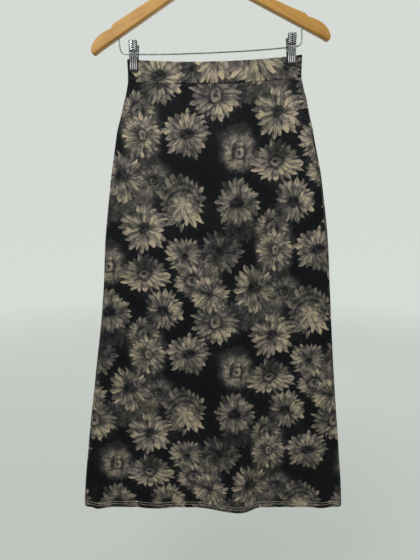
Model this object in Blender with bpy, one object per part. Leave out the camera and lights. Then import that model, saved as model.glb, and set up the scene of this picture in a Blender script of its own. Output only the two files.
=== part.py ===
"""A midi skirt of printed jersey knit on the clip hanger that holds it.

Metres, +Z up, the front towards -Y. The origin is the underside of the hook's top, where a rail
carries the hanger. The skirt is a flattened tube: a front and a back panel meet at two side seams
and hang from a two-piece waistband, which two steel clips pinch. The hanger leans a little, with
its right side up, and the skirt hangs straight down from its clips.
"""

import math

import bmesh
import bpy

GAP = 0.0003
MERGE_DISTANCE = 0.00001
SMOOTH_ANGLE = math.radians(40)

JERSEY = (0.045, 0.047, 0.050)
WOOD = (0.60, 0.36, 0.13)
STEEL = (0.62, 0.63, 0.64)
CLIP_STEEL = (0.58, 0.59, 0.60)
RUBBER = (0.015, 0.015, 0.015)

# Skirt, as heights below the hook and widths left and right of it
WAIST_TOP_LEFT = -0.2342
WAIST_TOP_RIGHT = -0.2263
WAIST_SAG = 0.0088
BAND_HEIGHT = 0.039
HEM_Z = -1.165
HEM_DEPTH = 0.015
HEM_STEP = 0.001
CLOTH_WALL = 0.0012
HEM_WALL = 0.0022
BAND_WALL = 0.0026
SEAM_FADE = 3.0
TURN_STEPS = 3
FLAT_STEPS = 28
PANEL_ROWS = 18
BAND_ROWS = 3
ROW_CROWDING = 1.15
BACK_EXTRA_STEPS = 2
FOLD_WINDOW = 0.024
FOLD_START = 0.020
FOLD_END = 0.150
FOLD_GROWTH = 1.3
SLOPE_STEP = 0.001

# height, left edge, right edge, half depth at the sides, crown in the middle, right seam's turn
OUTLINE = (
    (-0.226, -0.1480, 0.1785, 0.0030, 0.0030, 0),
    (-0.272, -0.1473, 0.1778, 0.0030, 0.0030, 0),
    (-0.288, -0.1493, 0.1805, 0.0033, 0.0030, 0),
    (-0.314, -0.1563, 0.1887, 0.0042, 0.0030, 20),
    (-0.369, -0.1713, 0.2027, 0.0055, 0.0032, 55),
    (-0.452, -0.1863, 0.2227, 0.0070, 0.0036, 65),
    (-0.570, -0.2023, 0.2417, 0.0085, 0.0038, 68),
    (-0.693, -0.2133, 0.2537, 0.0095, 0.0036, 64),
    (-0.856, -0.2363, 0.2697, 0.0100, 0.0030, 30),
    (-1.032, -0.2613, 0.2897, 0.0105, 0.0025, 8),
    (-1.168, -0.2760, 0.3030, 0.0110, 0.0020, 0),
)

# side, x at the waist, x at the hem, top, bottom, reach left, reach right, depth at top, at bottom
FOLDS = (
    ("front", 0.080, 0.071, -0.280, -1.165, 0.100, 0.054, 0.0035, 0.0185),
    ("front", 0.102, 0.098, -0.276, -0.460, 0.020, 0.020, -0.0028, -0.0010),
    ("front", -0.200, -0.243, -0.850, -1.165, 0.034, 0.034, 0.0000, 0.0065),
    ("front", -0.090, -0.118, -0.780, -1.165, 0.040, 0.050, 0.0000, 0.0045),
    ("front", 0.190, 0.255, -0.700, -1.165, 0.040, 0.030, 0.0000, 0.0040),
    ("front", -0.080, -0.060, -0.300, -0.900, 0.060, 0.070, 0.0020, 0.0015),
    ("back", 0.120, 0.180, -0.300, -1.165, 0.060, 0.075, 0.0015, 0.0150),
    ("back", -0.020, 0.020, -0.420, -1.165, 0.055, 0.045, 0.0000, 0.0090),
    ("back", -0.110, -0.150, -0.290, -1.165, 0.070, 0.055, 0.0020, 0.0170),
)

# Hanger, in its own upright frame, which then leans about the hook
LEAN = math.radians(3.19)
HANGER_AXIS = -0.004
WOOD_THICKNESS = 0.015
WOOD_ROUND = 0.0022
HOLE_R = 0.0016
HOLE_SIDES = 12
HOLE_DEPTH = 0.040
HOLE_CLEAR = 0.0015
BAR_R = 0.0013
BAR_TOP = -0.181
HOOK_R = 0.0018
HOOK_BOW = 0.0218
HOOK_STEM = ((-0.0040, -0.0550), (-0.0015, -0.0485), (0.0050, -0.0428))
HOOK_ANGLES = range(-48, 206, 23)
NECK_TOP = -0.062
COLLAR_R = 0.0065
COLLAR_TOP_R = 0.0039
COLLAR_HEIGHT = 0.004
RING_STEPS = 16

# One arm from the neck's top round the nose to the neck's underside: out from the axis, height
ARM_TOP = {
    "left": ((0, -0.0620), (0.011, -0.0635), (0.022, -0.0745), (0.042, -0.0930), (0.070, -0.1115),
             (0.108, -0.1315), (0.142, -0.1490), (0.1765, -0.1668)),
    "right": ((0, -0.0620), (0.011, -0.0635), (0.022, -0.0760), (0.042, -0.0965), (0.070, -0.1165),
              (0.108, -0.1365), (0.142, -0.1530), (0.1750, -0.1680)),
}
ARM_NOSE = (
    (0.1800, -0.1735), (0.1870, -0.1755), (0.2000, -0.1818), (0.2100, -0.1895), (0.2170, -0.1985),
    (0.2205, -0.2080), (0.2190, -0.2140), (0.2140, -0.2160),
)
UNDERSIDE_APEX = -0.0965
UNDERSIDE_SLOPE = 0.553

# The wire bar's route: out from the axis, height
BAR_ROUTE = (
    (-0.1675, BAR_TOP), (-0.1675, -0.1900), (-0.1675, -0.2000), (-0.1670, -0.2080),
    (-0.1650, -0.2130), (-0.1610, -0.2160), (-0.1550, -0.2172), (-0.1410, -0.2181),
    (-0.0800, -0.2212), (0.0000, -0.2232), (0.0800, -0.2236), (0.1410, -0.2222),
    (0.1560, -0.2215), (0.1620, -0.2203), (0.1660, -0.2172), (0.1680, -0.2120),
    (0.1684, -0.2040), (0.1684, -0.1930), (0.1684, BAR_TOP),
)

# Clips: name, place along the bar, lean of its lower end outwards
CLIPS = (
    ("left", -0.1343, math.radians(-1.9)),
    ("right", 0.1566, math.radians(2.0)),
)
CLIP_HALF_WIDTH = 0.0078
CLIP_SHEET = 0.0012
EAR_OUTER = 0.0068
EAR_INNER = 0.0054
EAR_WALL = 0.0009
EAR_HALF = 0.0050
EAR_END = 0.0030
PAD_HALF_WIDTH = 0.0072
PAD_CHAMFER = 0.0004
PAD_INNER = 0.0039
PAD_WALL = 0.0015
PAD_TOP = -0.0165
PAD_BOTTOM = -0.0315
SPRING_OUTER = 0.0036
SPRING_INNER = 0.0017
SPRING_HALF = 0.0042
# height from the bar, distance of the plate's inner face from the middle
CLIP_PROFILE = (
    (0.0205, 0.0128), (0.0130, 0.0112), (0.0050, 0.0095), (-0.0050, 0.0080), (-0.0110, 0.0066),
    (-0.0160, 0.0057), (-0.0290, 0.0057),
)


def clear_scene():
    for old in list(bpy.data.objects):
        bpy.data.objects.remove(old, do_unlink=True)


def new_material(name, colour, roughness, metallic=0.0):
    material = bpy.data.materials.new(name)
    material.use_nodes = True
    shader = material.node_tree.nodes["Principled BSDF"]
    shader.inputs["Base Color"].default_value = (*colour, 1)
    shader.inputs["Roughness"].default_value = roughness
    shader.inputs["Metallic"].default_value = metallic
    return material


def new_object(name, bm, colour, roughness, metallic=0.0):
    mesh = bpy.data.meshes.new(name)
    bm.to_mesh(mesh)
    bm.free()
    mesh.shade_smooth()
    mesh.set_sharp_from_angle(angle=SMOOTH_ANGLE)
    mesh.materials.append(new_material(name, colour, roughness, metallic))
    made = bpy.data.objects.new(name, mesh)
    bpy.context.collection.objects.link(made)
    return made


def mix(a, b, share):
    return a + (b - a) * share


def smooth_step(low, high, value):
    share = min(max((value - low) / (high - low), 0.0), 1.0)
    return share * share * (3 - 2 * share)


def curve_between(before, start, end, after, share):
    """One value of the smooth curve that passes through start and end."""
    return 0.5 * (
        2 * start
        + (end - before) * share
        + (2 * before - 5 * start + 4 * end - after) * share ** 2
        + (3 * start - before - 3 * end + after) * share ** 3
    )


def outline_at(z):
    """(left edge, right edge, half depth, crown, turn of the right seam) at this height."""
    last = len(OUTLINE) - 1
    row = 0
    while row < last - 1 and z < OUTLINE[row + 1][0]:
        row += 1
    share = min(max((z - OUTLINE[row][0]) / (OUTLINE[row + 1][0] - OUTLINE[row][0]), 0), 1)
    rows = [OUTLINE[min(max(row + step, 0), last)] for step in (-1, 0, 1, 2)]
    return [curve_between(*(each[column] for each in rows), share) for column in range(1, 6)]


def waist_top(x):
    """The waistband's upper edge, which sags between the clips."""
    left, right = OUTLINE[0][1], OUTLINE[0][2]
    along = (x - left) / (right - left)
    return mix(WAIST_TOP_LEFT, WAIST_TOP_RIGHT, along) - WAIST_SAG * 4 * along * (1 - along)


def bell(distance, reach_left, reach_right):
    reach = reach_left if distance < 0 else reach_right
    return 0.5 + 0.5 * math.cos(math.pi * distance / reach) if abs(distance) < reach else 0.0


def fold_depth(side, x, z, left, right, half_depth):
    """How far the folds lift the cloth from its flat place, fading out towards the side seams."""
    inner = min(x - left - half_depth, right - half_depth - x)
    window = smooth_step(0.0, FOLD_WINDOW, inner)
    total = 0.0
    for place, x_waist, x_hem, top, bottom, reach_left, reach_right, first, final in FOLDS:
        if place != side or z > top:
            continue
        down = min((z - top) / (bottom - top), 1.0)
        centre = mix(x_waist, x_hem, (z - WAIST_TOP_LEFT) / (HEM_Z - WAIST_TOP_LEFT))
        fade = smooth_step(0, FOLD_START, top - z) * (1 - smooth_step(0, FOLD_END, bottom - z))
        depth = mix(first, final, down ** FOLD_GROWTH) * fade
        total += depth * bell(x - centre, reach_left, reach_right)
    return total * window


def section(side, z, inset):
    """Points (x, y) across one side at a height, from its left seam to its right one.

    An inset of 0 gives the outer face. The turns at the edges are arcs, and the stretch between
    them carries the crown and the folds.
    """
    left, right, half, crown, turn = outline_at(z)
    sign = -1 if side == "front" else 1
    trim = GAP / 2 / half
    seam_left = trim
    seam_right = -sign * math.radians(turn) + trim
    radius = half - inset
    middle, reach = (left + right) / 2, (right - left) / 2
    quarter = math.pi / 2

    def lift(x):
        across = (x - middle) / reach
        return half + crown * (1 - across ** 2) ** 2 + fold_depth(side, x, z, left, right, half)

    points = []
    for step in range(TURN_STEPS):
        angle = mix(seam_left, quarter, step / TURN_STEPS)
        points.append((left + half - radius * math.cos(angle), sign * radius * math.sin(angle)))
    for step in range(FLAT_STEPS + 1):
        x = mix(left + half, right - half, step / FLAT_STEPS)
        slope = (lift(x + SLOPE_STEP) - lift(x - SLOPE_STEP)) / (2 * SLOPE_STEP)
        points.append((x, sign * (lift(x) - inset * math.hypot(1, slope))))
    last_steps = TURN_STEPS + (BACK_EXTRA_STEPS if side == "back" else 0)
    for step in range(1, last_steps + 1):
        angle = mix(quarter, seam_right, step / last_steps)
        points.append((right - half + radius * math.cos(angle), sign * radius * math.sin(angle)))
    return points


def cloth_solid(side, rows, height_of, wall_of):
    """A closed wall of cloth: an outer and an inner sheet of quads, joined round their rims."""
    bm = bmesh.new()
    sheets = []
    for inner in (False, True):
        grid = []
        for share in rows:
            inset = wall_of(share) if inner else 0.0
            places = section(side, height_of(0.0, share), inset)
            grid.append([bm.verts.new((x, y, height_of(x, share))) for x, y in places])
        sheets.append(grid)
    outer, inside = sheets
    for grid in sheets:
        for upper, lower in zip(grid, grid[1:]):
            for i in range(len(upper) - 1):
                bm.faces.new((upper[i], lower[i], lower[i + 1], upper[i + 1]))
    for row in (0, -1):
        for i in range(len(outer[0]) - 1):
            bm.faces.new((outer[row][i], outer[row][i + 1], inside[row][i + 1], inside[row][i]))
    for column in (0, -1):
        for row in range(len(outer) - 1):
            corners = (outer[row], outer[row + 1], inside[row + 1], inside[row])
            bm.faces.new([each[column] for each in corners])
    bmesh.ops.recalc_face_normals(bm, faces=bm.faces)
    return bm


def panel_height(x, share):
    """The panel's top follows the sagging waistband, and its rows level out towards the hem."""
    top = waist_top(x) - BAND_HEIGHT - GAP
    level = waist_top(0.0) - BAND_HEIGHT - GAP
    return mix(level, HEM_Z, share) + (top - level) * (1 - share) ** SEAM_FADE


def hem_share():
    """The share of the panel's length that lies above the turned-up hem."""
    return 1 - HEM_DEPTH / (waist_top(0.0) - BAND_HEIGHT - HEM_Z)


def panel_rows():
    step = HEM_STEP * (1 - hem_share()) / HEM_DEPTH
    shares = [(i / PANEL_ROWS) ** ROW_CROWDING for i in range(PANEL_ROWS + 1)]
    upper = [(hem_share() - step) * share for share in shares]
    return upper + [hem_share(), (hem_share() + 1) / 2, 1.0]


def make_panel(side):
    def wall_of(share):
        return HEM_WALL if share >= hem_share() else CLOTH_WALL

    bm = cloth_solid(side, panel_rows(), panel_height, wall_of)
    new_object("skirt_" + side, bm, JERSEY, 0.85)


def make_waistband(side):
    rows = [i / BAND_ROWS for i in range(BAND_ROWS + 1)]
    bm = cloth_solid(
        side, rows, lambda x, share: waist_top(x) - share * BAND_HEIGHT, lambda share: BAND_WALL
    )
    new_object("waistband_" + side, bm, JERSEY, 0.85)


def hanger_frame():
    """The empty that leans the whole hanger about the hook."""
    frame = bpy.data.objects.new("hanger_frame", None)
    bpy.context.collection.objects.link(frame)
    frame.rotation_euler = (0, -LEAN, 0)
    return frame


def underside(out):
    return UNDERSIDE_APEX - UNDERSIDE_SLOPE * out


def arm_outline(name):
    points = list(ARM_TOP[name]) + list(ARM_NOSE)
    points += [(out, underside(out)) for out in (0.204, 0.150, 0.100, 0.050)]
    points.append((0, UNDERSIDE_APEX))
    return points


def make_arm(name, sign, frame):
    bm = bmesh.new()
    half = WOOD_THICKNESS / 2
    corners = []
    for out, height in arm_outline(name):
        out = max(out, GAP / 2)
        corners.append(bm.verts.new((HANGER_AXIS + sign * out, -half, height)))
    face = bm.faces.new(corners if sign > 0 else corners[::-1])
    face.normal_update()
    if face.normal.y > 0:
        face.normal_flip()
    extruded = bmesh.ops.extrude_face_region(bm, geom=[face])
    moved = [item for item in extruded["geom"] if isinstance(item, bmesh.types.BMVert)]
    bmesh.ops.translate(bm, vec=(0, WOOD_THICKNESS, 0), verts=moved)
    bmesh.ops.recalc_face_normals(bm, faces=bm.faces)
    rim = [
        edge for edge in bm.edges
        if abs(edge.verts[0].co.y - edge.verts[1].co.y) < GAP
        and min(abs(vert.co.x - HANGER_AXIS) for vert in edge.verts) > GAP
    ]
    bmesh.ops.bevel(
        bm, geom=rim, offset=WOOD_ROUND, segments=2, profile=0.5, affect="EDGES", material=-1
    )
    arm = new_object("arm_" + name, bm, WOOD, 0.45)
    arm.parent = frame
    leg = BAR_ROUTE[0][0] if sign < 0 else BAR_ROUTE[-1][0]
    middle = BAR_TOP + HOLE_CLEAR - HOLE_DEPTH / 2
    drill(arm, "drill_" + name, (HANGER_AXIS + leg, 0, middle), HOLE_R, HOLE_DEPTH, frame)


def drill(target, name, centre, radius, depth, frame=None, turn=(0, 0, 0)):
    bm = bmesh.new()
    bmesh.ops.create_cone(
        bm, cap_ends=True, segments=HOLE_SIDES, radius1=radius, radius2=radius, depth=depth
    )
    cutter = new_object(name, bm, STEEL, 0.5)
    cutter.location = centre
    cutter.rotation_euler = turn
    cutter.parent = frame
    cutter.hide_render = True
    cutter.display_type = "WIRE"
    cut = target.modifiers.new(name, "BOOLEAN")
    cut.operation = "DIFFERENCE"
    cut.solver = "EXACT"
    cut.object = cutter


def smooth_route(points, steps):
    """Points on one smooth curve through the given ones."""
    route = []
    for i in range(len(points) - 1):
        around = [points[min(max(i + step, 0), len(points) - 1)] for step in (-1, 0, 1, 2)]
        for step in range(steps):
            route.append(
                tuple(curve_between(*(p[axis] for p in around), step / steps) for axis in (0, 1))
            )
    route.append(tuple(points[-1]))
    return route


def make_wire(name, route, radius, frame):
    """A round wire along (x, z) points in the hanger's upright frame."""
    curve = bpy.data.curves.new(name, "CURVE")
    curve.dimensions = "3D"
    curve.bevel_depth = radius
    curve.bevel_resolution = 2
    curve.use_fill_caps = True
    spline = curve.splines.new("POLY")
    spline.points.add(len(route) - 1)
    for point, (x, z) in zip(spline.points, route):
        point.co = (x, 0, z, 1)
    curve.materials.append(new_material(name, STEEL, 0.25, 1.0))
    wire = bpy.data.objects.new(name, curve)
    bpy.context.collection.objects.link(wire)
    wire.parent = frame


def hook_route():
    """Up from the neck, out to the right, over the top and down to an open end on the left."""
    centre = HOOK_R - HOOK_BOW
    angles = [math.radians(degrees) for degrees in HOOK_ANGLES]
    bow = [(HOOK_BOW * math.cos(a), centre + HOOK_BOW * math.sin(a)) for a in angles]
    return smooth_route([(HANGER_AXIS, NECK_TOP + GAP), *HOOK_STEM, *bow], 2)


def turned_ring(profile, axis):
    """A closed ring: its (x, z) profile is spun once round this axis."""
    bm = bmesh.new()
    ring = [bm.verts.new((x, 0, z)) for x, z in profile]
    edges = [bm.edges.new((ring[i], ring[(i + 1) % len(ring)])) for i in range(len(ring))]
    bmesh.ops.spin(
        bm, geom=ring + edges, cent=(0, 0, 0), axis=axis, angle=2 * math.pi,
        steps=RING_STEPS, use_merge=True,
    )
    bmesh.ops.remove_doubles(bm, verts=bm.verts, dist=MERGE_DISTANCE)
    bmesh.ops.recalc_face_normals(bm, faces=bm.faces)
    return bm


def make_hook_parts(frame):
    make_wire("hook", hook_route(), HOOK_R, frame)
    bore = HOOK_R + GAP
    bottom = NECK_TOP + GAP
    top = bottom + COLLAR_HEIGHT
    profile = ((bore, bottom), (COLLAR_R, bottom), (COLLAR_R, (bottom + top) / 2),
               (COLLAR_TOP_R, top), (bore, top))
    collar = new_object("hook_collar", turned_ring(profile, (0, 0, 1)), STEEL, 0.3, 1.0)
    collar.location = (HANGER_AXIS, 0, 0)
    collar.parent = frame


def bar_route():
    return smooth_route([(HANGER_AXIS + out, height) for out, height in BAR_ROUTE], 3)


def bar_at(x):
    """The leaning bar's height and slope where it passes this x."""
    turned = [
        (out * math.cos(LEAN) - height * math.sin(LEAN),
         out * math.sin(LEAN) + height * math.cos(LEAN))
        for out, height in bar_route()
    ]
    for (x0, z0), (x1, z1) in zip(turned, turned[1:]):
        if x0 <= x <= x1 and x1 - x0 > BAR_R:
            return mix(z0, z1, (x - x0) / (x1 - x0)), math.atan2(z1 - z0, x1 - x0)
    raise ValueError("no bar at this place")


def make_plate(name, sign, ear_at, holder, slope):
    """A bent sheet with two ears round the bar. sign is -1 for the front plate, 1 for the back."""
    bm = bmesh.new()
    across = (-CLIP_HALF_WIDTH, -ear_at, -ear_at + EAR_WALL, ear_at - EAR_WALL, ear_at,
              CLIP_HALF_WIDTH)
    rows = []
    for height, inner in CLIP_PROFILE:
        inside = [bm.verts.new((x, sign * inner, height)) for x in across]
        outside = [bm.verts.new((x, sign * (inner + CLIP_SHEET), height)) for x in across]
        rows.append((inside, outside))
    ears = []
    for (in_up, out_up), (in_low, out_low) in zip(rows, rows[1:]):
        for i in range(len(across) - 1):
            face = bm.faces.new((in_up[i], in_up[i + 1], in_low[i + 1], in_low[i]))
            bm.faces.new((out_up[i], out_low[i], out_low[i + 1], out_up[i + 1]))
            near = abs(in_up[i].co.z) <= EAR_HALF and abs(in_low[i].co.z) <= EAR_HALF
            if near and i in (1, 3):
                ears.append(face)
        for i in (0, len(across) - 1):
            bm.faces.new((in_up[i], in_low[i], out_low[i], out_up[i]))
    for inside, outside in (rows[0], rows[-1]):
        for i in range(len(across) - 1):
            bm.faces.new((inside[i], outside[i], outside[i + 1], inside[i + 1]))
    bmesh.ops.recalc_face_normals(bm, faces=bm.faces)
    for ear in ears:
        grown = bmesh.ops.extrude_discrete_faces(bm, faces=[ear])["faces"]
        for vert in grown[0].verts:
            vert.co.y = -sign * EAR_END
    bmesh.ops.remove_doubles(bm, verts=bm.verts, dist=MERGE_DISTANCE / 10)
    bmesh.ops.recalc_face_normals(bm, faces=bm.faces)
    plate = new_object(name, bm, CLIP_STEEL, 0.28, 1.0)
    plate.parent = holder
    turn = (0, math.pi / 2 - slope, 0)
    drill(plate, "drill_" + name, (0, 0, 0), HOLE_R, 4 * CLIP_HALF_WIDTH, holder, turn)


def make_pad(name, sign, holder):
    bm = bmesh.new()
    bmesh.ops.create_cube(bm, size=1)
    size = (2 * PAD_HALF_WIDTH, PAD_WALL, PAD_TOP - PAD_BOTTOM)
    bmesh.ops.scale(bm, vec=size, verts=bm.verts)
    place = (0, sign * (PAD_INNER + PAD_WALL / 2), (PAD_TOP + PAD_BOTTOM) / 2)
    bmesh.ops.translate(bm, vec=place, verts=bm.verts)
    bmesh.ops.bevel(
        bm, geom=bm.edges[:], offset=PAD_CHAMFER, segments=1, profile=0.5, affect="EDGES",
        material=-1,
    )
    pad = new_object(name, bm, RUBBER, 0.7)
    pad.parent = holder


def make_spring(name, holder, slope):
    profile = ((-SPRING_HALF, SPRING_INNER), (SPRING_HALF, SPRING_INNER),
               (SPRING_HALF, SPRING_OUTER), (-SPRING_HALF, SPRING_OUTER))
    spring = new_object(name, turned_ring(profile, (1, 0, 0)), CLIP_STEEL, 0.3, 1.0)
    spring.rotation_euler = (0, -slope, 0)
    spring.parent = holder


def make_clip(name, x, lean):
    holder = bpy.data.objects.new("clip_" + name + "_frame", None)
    bpy.context.collection.objects.link(holder)
    height, bar_slope = bar_at(x)
    holder.location = (x, 0, height)
    holder.rotation_euler = (0, -lean, 0)
    slope = bar_slope - lean
    make_plate("clip_front_" + name, -1, EAR_OUTER, holder, slope)
    make_plate("clip_back_" + name, 1, EAR_INNER, holder, slope)
    make_pad("pad_front_" + name, -1, holder)
    make_pad("pad_back_" + name, 1, holder)
    make_spring("clip_spring_" + name, holder, slope)


clear_scene()
for panel_side in ("front", "back"):
    make_panel(panel_side)
    make_waistband(panel_side)
leaning = hanger_frame()
make_arm("left", -1, leaning)
make_arm("right", 1, leaning)
make_hook_parts(leaning)
make_wire("clip_bar", bar_route(), BAR_R, leaning)
for clip_name, clip_x, clip_lean in CLIPS:
    make_clip(clip_name, clip_x, clip_lean)
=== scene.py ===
# %% [markdown]
# # A printed jersey skirt on its clip hanger
#
# The real skirt is an A-line tube of black jersey knit with faded daisies printed on it. A front
# and a back panel meet at two side seams, an elastic waistband closes the top, and a hem is turned
# up and stitched with tan thread. It hangs from two steel clips on the wire bar of a wooden hanger.
#
# The solids of that skirt and hanger are already built. This script gives each of them its finish:
# cloth as a thin folded sheet with its print, wire that is round, wood that is planed and
# varnished, and clips of pressed steel. Every piece stays where the solid is.

# %% Load the solids
import math
import random

import bmesh
import bpy
import numpy as np
from mathutils import Matrix, Vector


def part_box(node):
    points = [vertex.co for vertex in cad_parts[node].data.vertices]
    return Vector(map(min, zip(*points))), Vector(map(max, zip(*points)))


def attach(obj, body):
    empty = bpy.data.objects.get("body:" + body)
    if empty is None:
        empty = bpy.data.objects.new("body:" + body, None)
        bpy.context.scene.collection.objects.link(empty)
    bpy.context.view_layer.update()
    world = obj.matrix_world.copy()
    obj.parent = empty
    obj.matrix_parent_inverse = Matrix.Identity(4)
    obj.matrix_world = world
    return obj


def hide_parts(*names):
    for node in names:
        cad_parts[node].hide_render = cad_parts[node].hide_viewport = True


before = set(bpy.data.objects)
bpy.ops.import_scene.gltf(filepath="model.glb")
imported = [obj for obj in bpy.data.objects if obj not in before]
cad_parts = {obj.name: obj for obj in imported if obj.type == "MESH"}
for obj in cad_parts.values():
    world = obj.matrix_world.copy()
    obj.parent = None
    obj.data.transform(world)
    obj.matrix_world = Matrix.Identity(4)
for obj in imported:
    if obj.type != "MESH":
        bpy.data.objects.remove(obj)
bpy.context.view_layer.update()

# %% [markdown]
# ## The camera
#
# The photograph was taken from a little above the middle of the skirt, about 0.84 m in front of
# it and tipped down by 10.5 degrees. A camera that close shows a strong perspective: the hem looks
# narrower than it is. So the lens and the distance are set first, and everything else is judged
# through them.

# %% Place the camera
CAMERA_PLACE = (0.00665, -0.8415, -0.495)
CAMERA_PITCH = math.radians(79.5)
CAMERA_LENS = 27
CAMERA_SENSOR = 36

camera = bpy.data.objects.new("camera", bpy.data.cameras.new("camera"))
bpy.context.collection.objects.link(camera)
camera.location = CAMERA_PLACE
camera.rotation_euler = (CAMERA_PITCH, 0, 0)
camera.data.lens = CAMERA_LENS
camera.data.sensor_width = CAMERA_SENSOR
bpy.context.scene.camera = camera
print("camera in front by", -CAMERA_PLACE[1], "m")

# %% [markdown]
# ## Studio light and floor
#
# The room in the photograph is evenly lit from above and from the left, with a pale wall behind.
# A wall would hide the back of the skirt, so the pale surroundings are the world's colour. Large
# area lamps give soft light: a small lamp would draw hard shadows into every fold. The floor is
# plain and pale. It glows a little, more and more with the distance from its middle, so that far
# away it takes on the colour of the surroundings and no hard line parts the two.

# %% Surroundings and floor
SURROUND = (0.665, 0.700, 0.665, 1)
FLOOR_Z = -1.62
FLOOR_RADIUS = 16
FLOOR_COLOUR = (0.20, 0.21, 0.20, 1)
GLOW_NEAR = 0.34
GLOW_FAR = 0.80
GLOW_START = 1.0
GLOW_END = 4.5

world = bpy.data.worlds.new("studio")
world.use_nodes = True
world.node_tree.nodes["Background"].inputs["Color"].default_value = SURROUND
bpy.context.scene.world = world
bpy.context.scene.view_settings.view_transform = "Standard"


def make_floor():
    bm = bmesh.new()
    bmesh.ops.create_circle(bm, cap_ends=True, segments=64, radius=FLOOR_RADIUS)
    bmesh.ops.translate(bm, vec=(0, 0, FLOOR_Z), verts=bm.verts)
    mesh = bpy.data.meshes.new("floor")
    bm.to_mesh(mesh)
    bm.free()
    paint = bpy.data.materials.new("pale_floor")
    paint.use_nodes = True
    tree = paint.node_tree
    shader = tree.nodes["Principled BSDF"]
    shader.inputs["Base Color"].default_value = FLOOR_COLOUR
    shader.inputs["Roughness"].default_value = 0.9
    shader.inputs["Specular IOR Level"].default_value = 0
    shader.inputs["Emission Color"].default_value = SURROUND
    place = tree.nodes.new("ShaderNodeTexCoord")
    away = tree.nodes.new("ShaderNodeVectorMath")
    away.operation = "LENGTH"
    glow = tree.nodes.new("ShaderNodeMapRange")
    for name, value in zip(("From Min", "From Max", "To Min", "To Max"),
                           (GLOW_START, GLOW_END, GLOW_NEAR, GLOW_FAR)):
        glow.inputs[name].default_value = value
    tree.links.new(place.outputs["Object"], away.inputs[0])
    tree.links.new(away.outputs["Value"], glow.inputs["Value"])
    tree.links.new(glow.outputs["Result"], shader.inputs["Emission Strength"])
    mesh.materials.append(paint)
    floor = bpy.data.objects.new("floor", mesh)
    bpy.context.collection.objects.link(floor)


make_floor()
print("floor at", FLOOR_Z, "m")

# %% Lamps
# name, place, point it faces, size, watts
LAMPS = (
    ("window", (-0.60, -1.05, 0.62), (0, 0, -0.40), 0.7, 25),
    ("ceiling", (0.30, -0.50, 0.80), (0, 0, -0.40), 1.0, 4),
    ("room_right", (1.30, -1.00, 0.10), (0, 0, -0.50), 0.9, 3),
    ("behind", (0.60, 1.90, 0.10), (0, 0, -0.60), 1.6, 22),
)


def make_lamp(name, place, target, size, watts):
    lamp = bpy.data.objects.new(name, bpy.data.lights.new(name, "AREA"))
    bpy.context.collection.objects.link(lamp)
    lamp.data.size = size
    lamp.data.energy = watts
    lamp.location = place
    facing = Vector(target) - Vector(place)
    lamp.rotation_euler = facing.to_track_quat("-Z", "Y").to_euler()
    lamp.visible_camera = False


for lamp_row in LAMPS:
    make_lamp(*lamp_row)
print("lamps:", [row[0] for row in LAMPS])

# %% [markdown]
# ## Helpers for materials
#
# A material in Blender is a small graph of nodes. Written out call by call it soon becomes
# unreadable, so a few short helpers add a node, give its sockets numbers or links, and hand back
# the output. With them a formula such as the edge of a petal reads almost as it would on paper.

# %% Node helpers


def add_node(tree, kind, inputs=None, **settings):
    """Adds a shader node. A number goes onto the socket itself, and an output is linked to it."""
    made = tree.nodes.new("ShaderNode" + kind)
    for name, value in settings.items():
        setattr(made, name, value)
    for place, value in (inputs or {}).items():
        if isinstance(value, bpy.types.NodeSocket):
            tree.links.new(value, made.inputs[place])
        else:
            made.inputs[place].default_value = value
    return made


def calc(tree, operation, *values):
    """The output of one Math node."""
    return add_node(tree, "Math", dict(enumerate(values)), operation=operation).outputs[0]


def fade(tree, value, start, end, first=0.0, last=1.0):
    """Goes smoothly from first to last while value goes from start to end."""
    inputs = {"Value": value, "From Min": start, "From Max": end, "To Min": first, "To Max": last}
    return add_node(tree, "MapRange", inputs, interpolation_type="SMOOTHSTEP").outputs["Result"]


def mix_values(tree, share, first, second):
    inputs = {"Factor": share, 2: first, 3: second}
    return add_node(tree, "Mix", inputs, data_type="FLOAT").outputs[0]


def mix_colours(tree, share, first, second):
    inputs = {"Factor": share, 6: first, 7: second}
    return add_node(tree, "Mix", inputs, data_type="RGBA").outputs[2]


def noise(tree, vector, scale, detail=2.0, roughness=0.5):
    inputs = {"Vector": vector, "Scale": scale, "Detail": detail, "Roughness": roughness}
    return add_node(tree, "TexNoise", inputs).outputs[0]


def colour_ramp(tree, value, stops):
    """Colours along a scale from 0 to 1. Each stop is a place and a linear colour."""
    node = add_node(tree, "ValToRGB", {"Fac": value})
    while len(node.color_ramp.elements) < len(stops):
        node.color_ramp.elements.new(0.5)
    for element, (place, colour) in zip(node.color_ramp.elements, stops):
        element.position = place
        element.color = (*colour, 1)
    return node.outputs["Color"]


def start_material(name, roughness, metallic=0.0):
    """A new material with its node tree and its shader."""
    paint = bpy.data.materials.new(name)
    paint.use_nodes = True
    shader = paint.node_tree.nodes["Principled BSDF"]
    shader.inputs["Roughness"].default_value = roughness
    shader.inputs["Metallic"].default_value = metallic
    return paint, paint.node_tree, shader


def add_bump(tree, shader, height, distance, strength):
    inputs = {"Height": height, "Distance": distance, "Strength": strength}
    tree.links.new(add_node(tree, "Bump", inputs).outputs["Normal"], shader.inputs["Normal"])


print("node helpers ready")

# %% [markdown]
# ## One printed flower
#
# The print is a soft, faded picture of daisies: long narrow petals in two rows, each a little
# longer, paler or darker than the next, round an eye that is dark in some flowers and ringed in
# others. It could be painted as an image, but an image has a fixed sharpness. A formula does not:
# in polar coordinates a ring of petals is simply the angle times the number of petals, rounded to
# the nearest whole petal. What is left over says how far a point lies from that petal's middle.
#
# So one node group draws one flower of radius 1. The mesh tells it, in two attributes, where in
# the flower a point lies and what kind of flower it is.

# %% Petals


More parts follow.
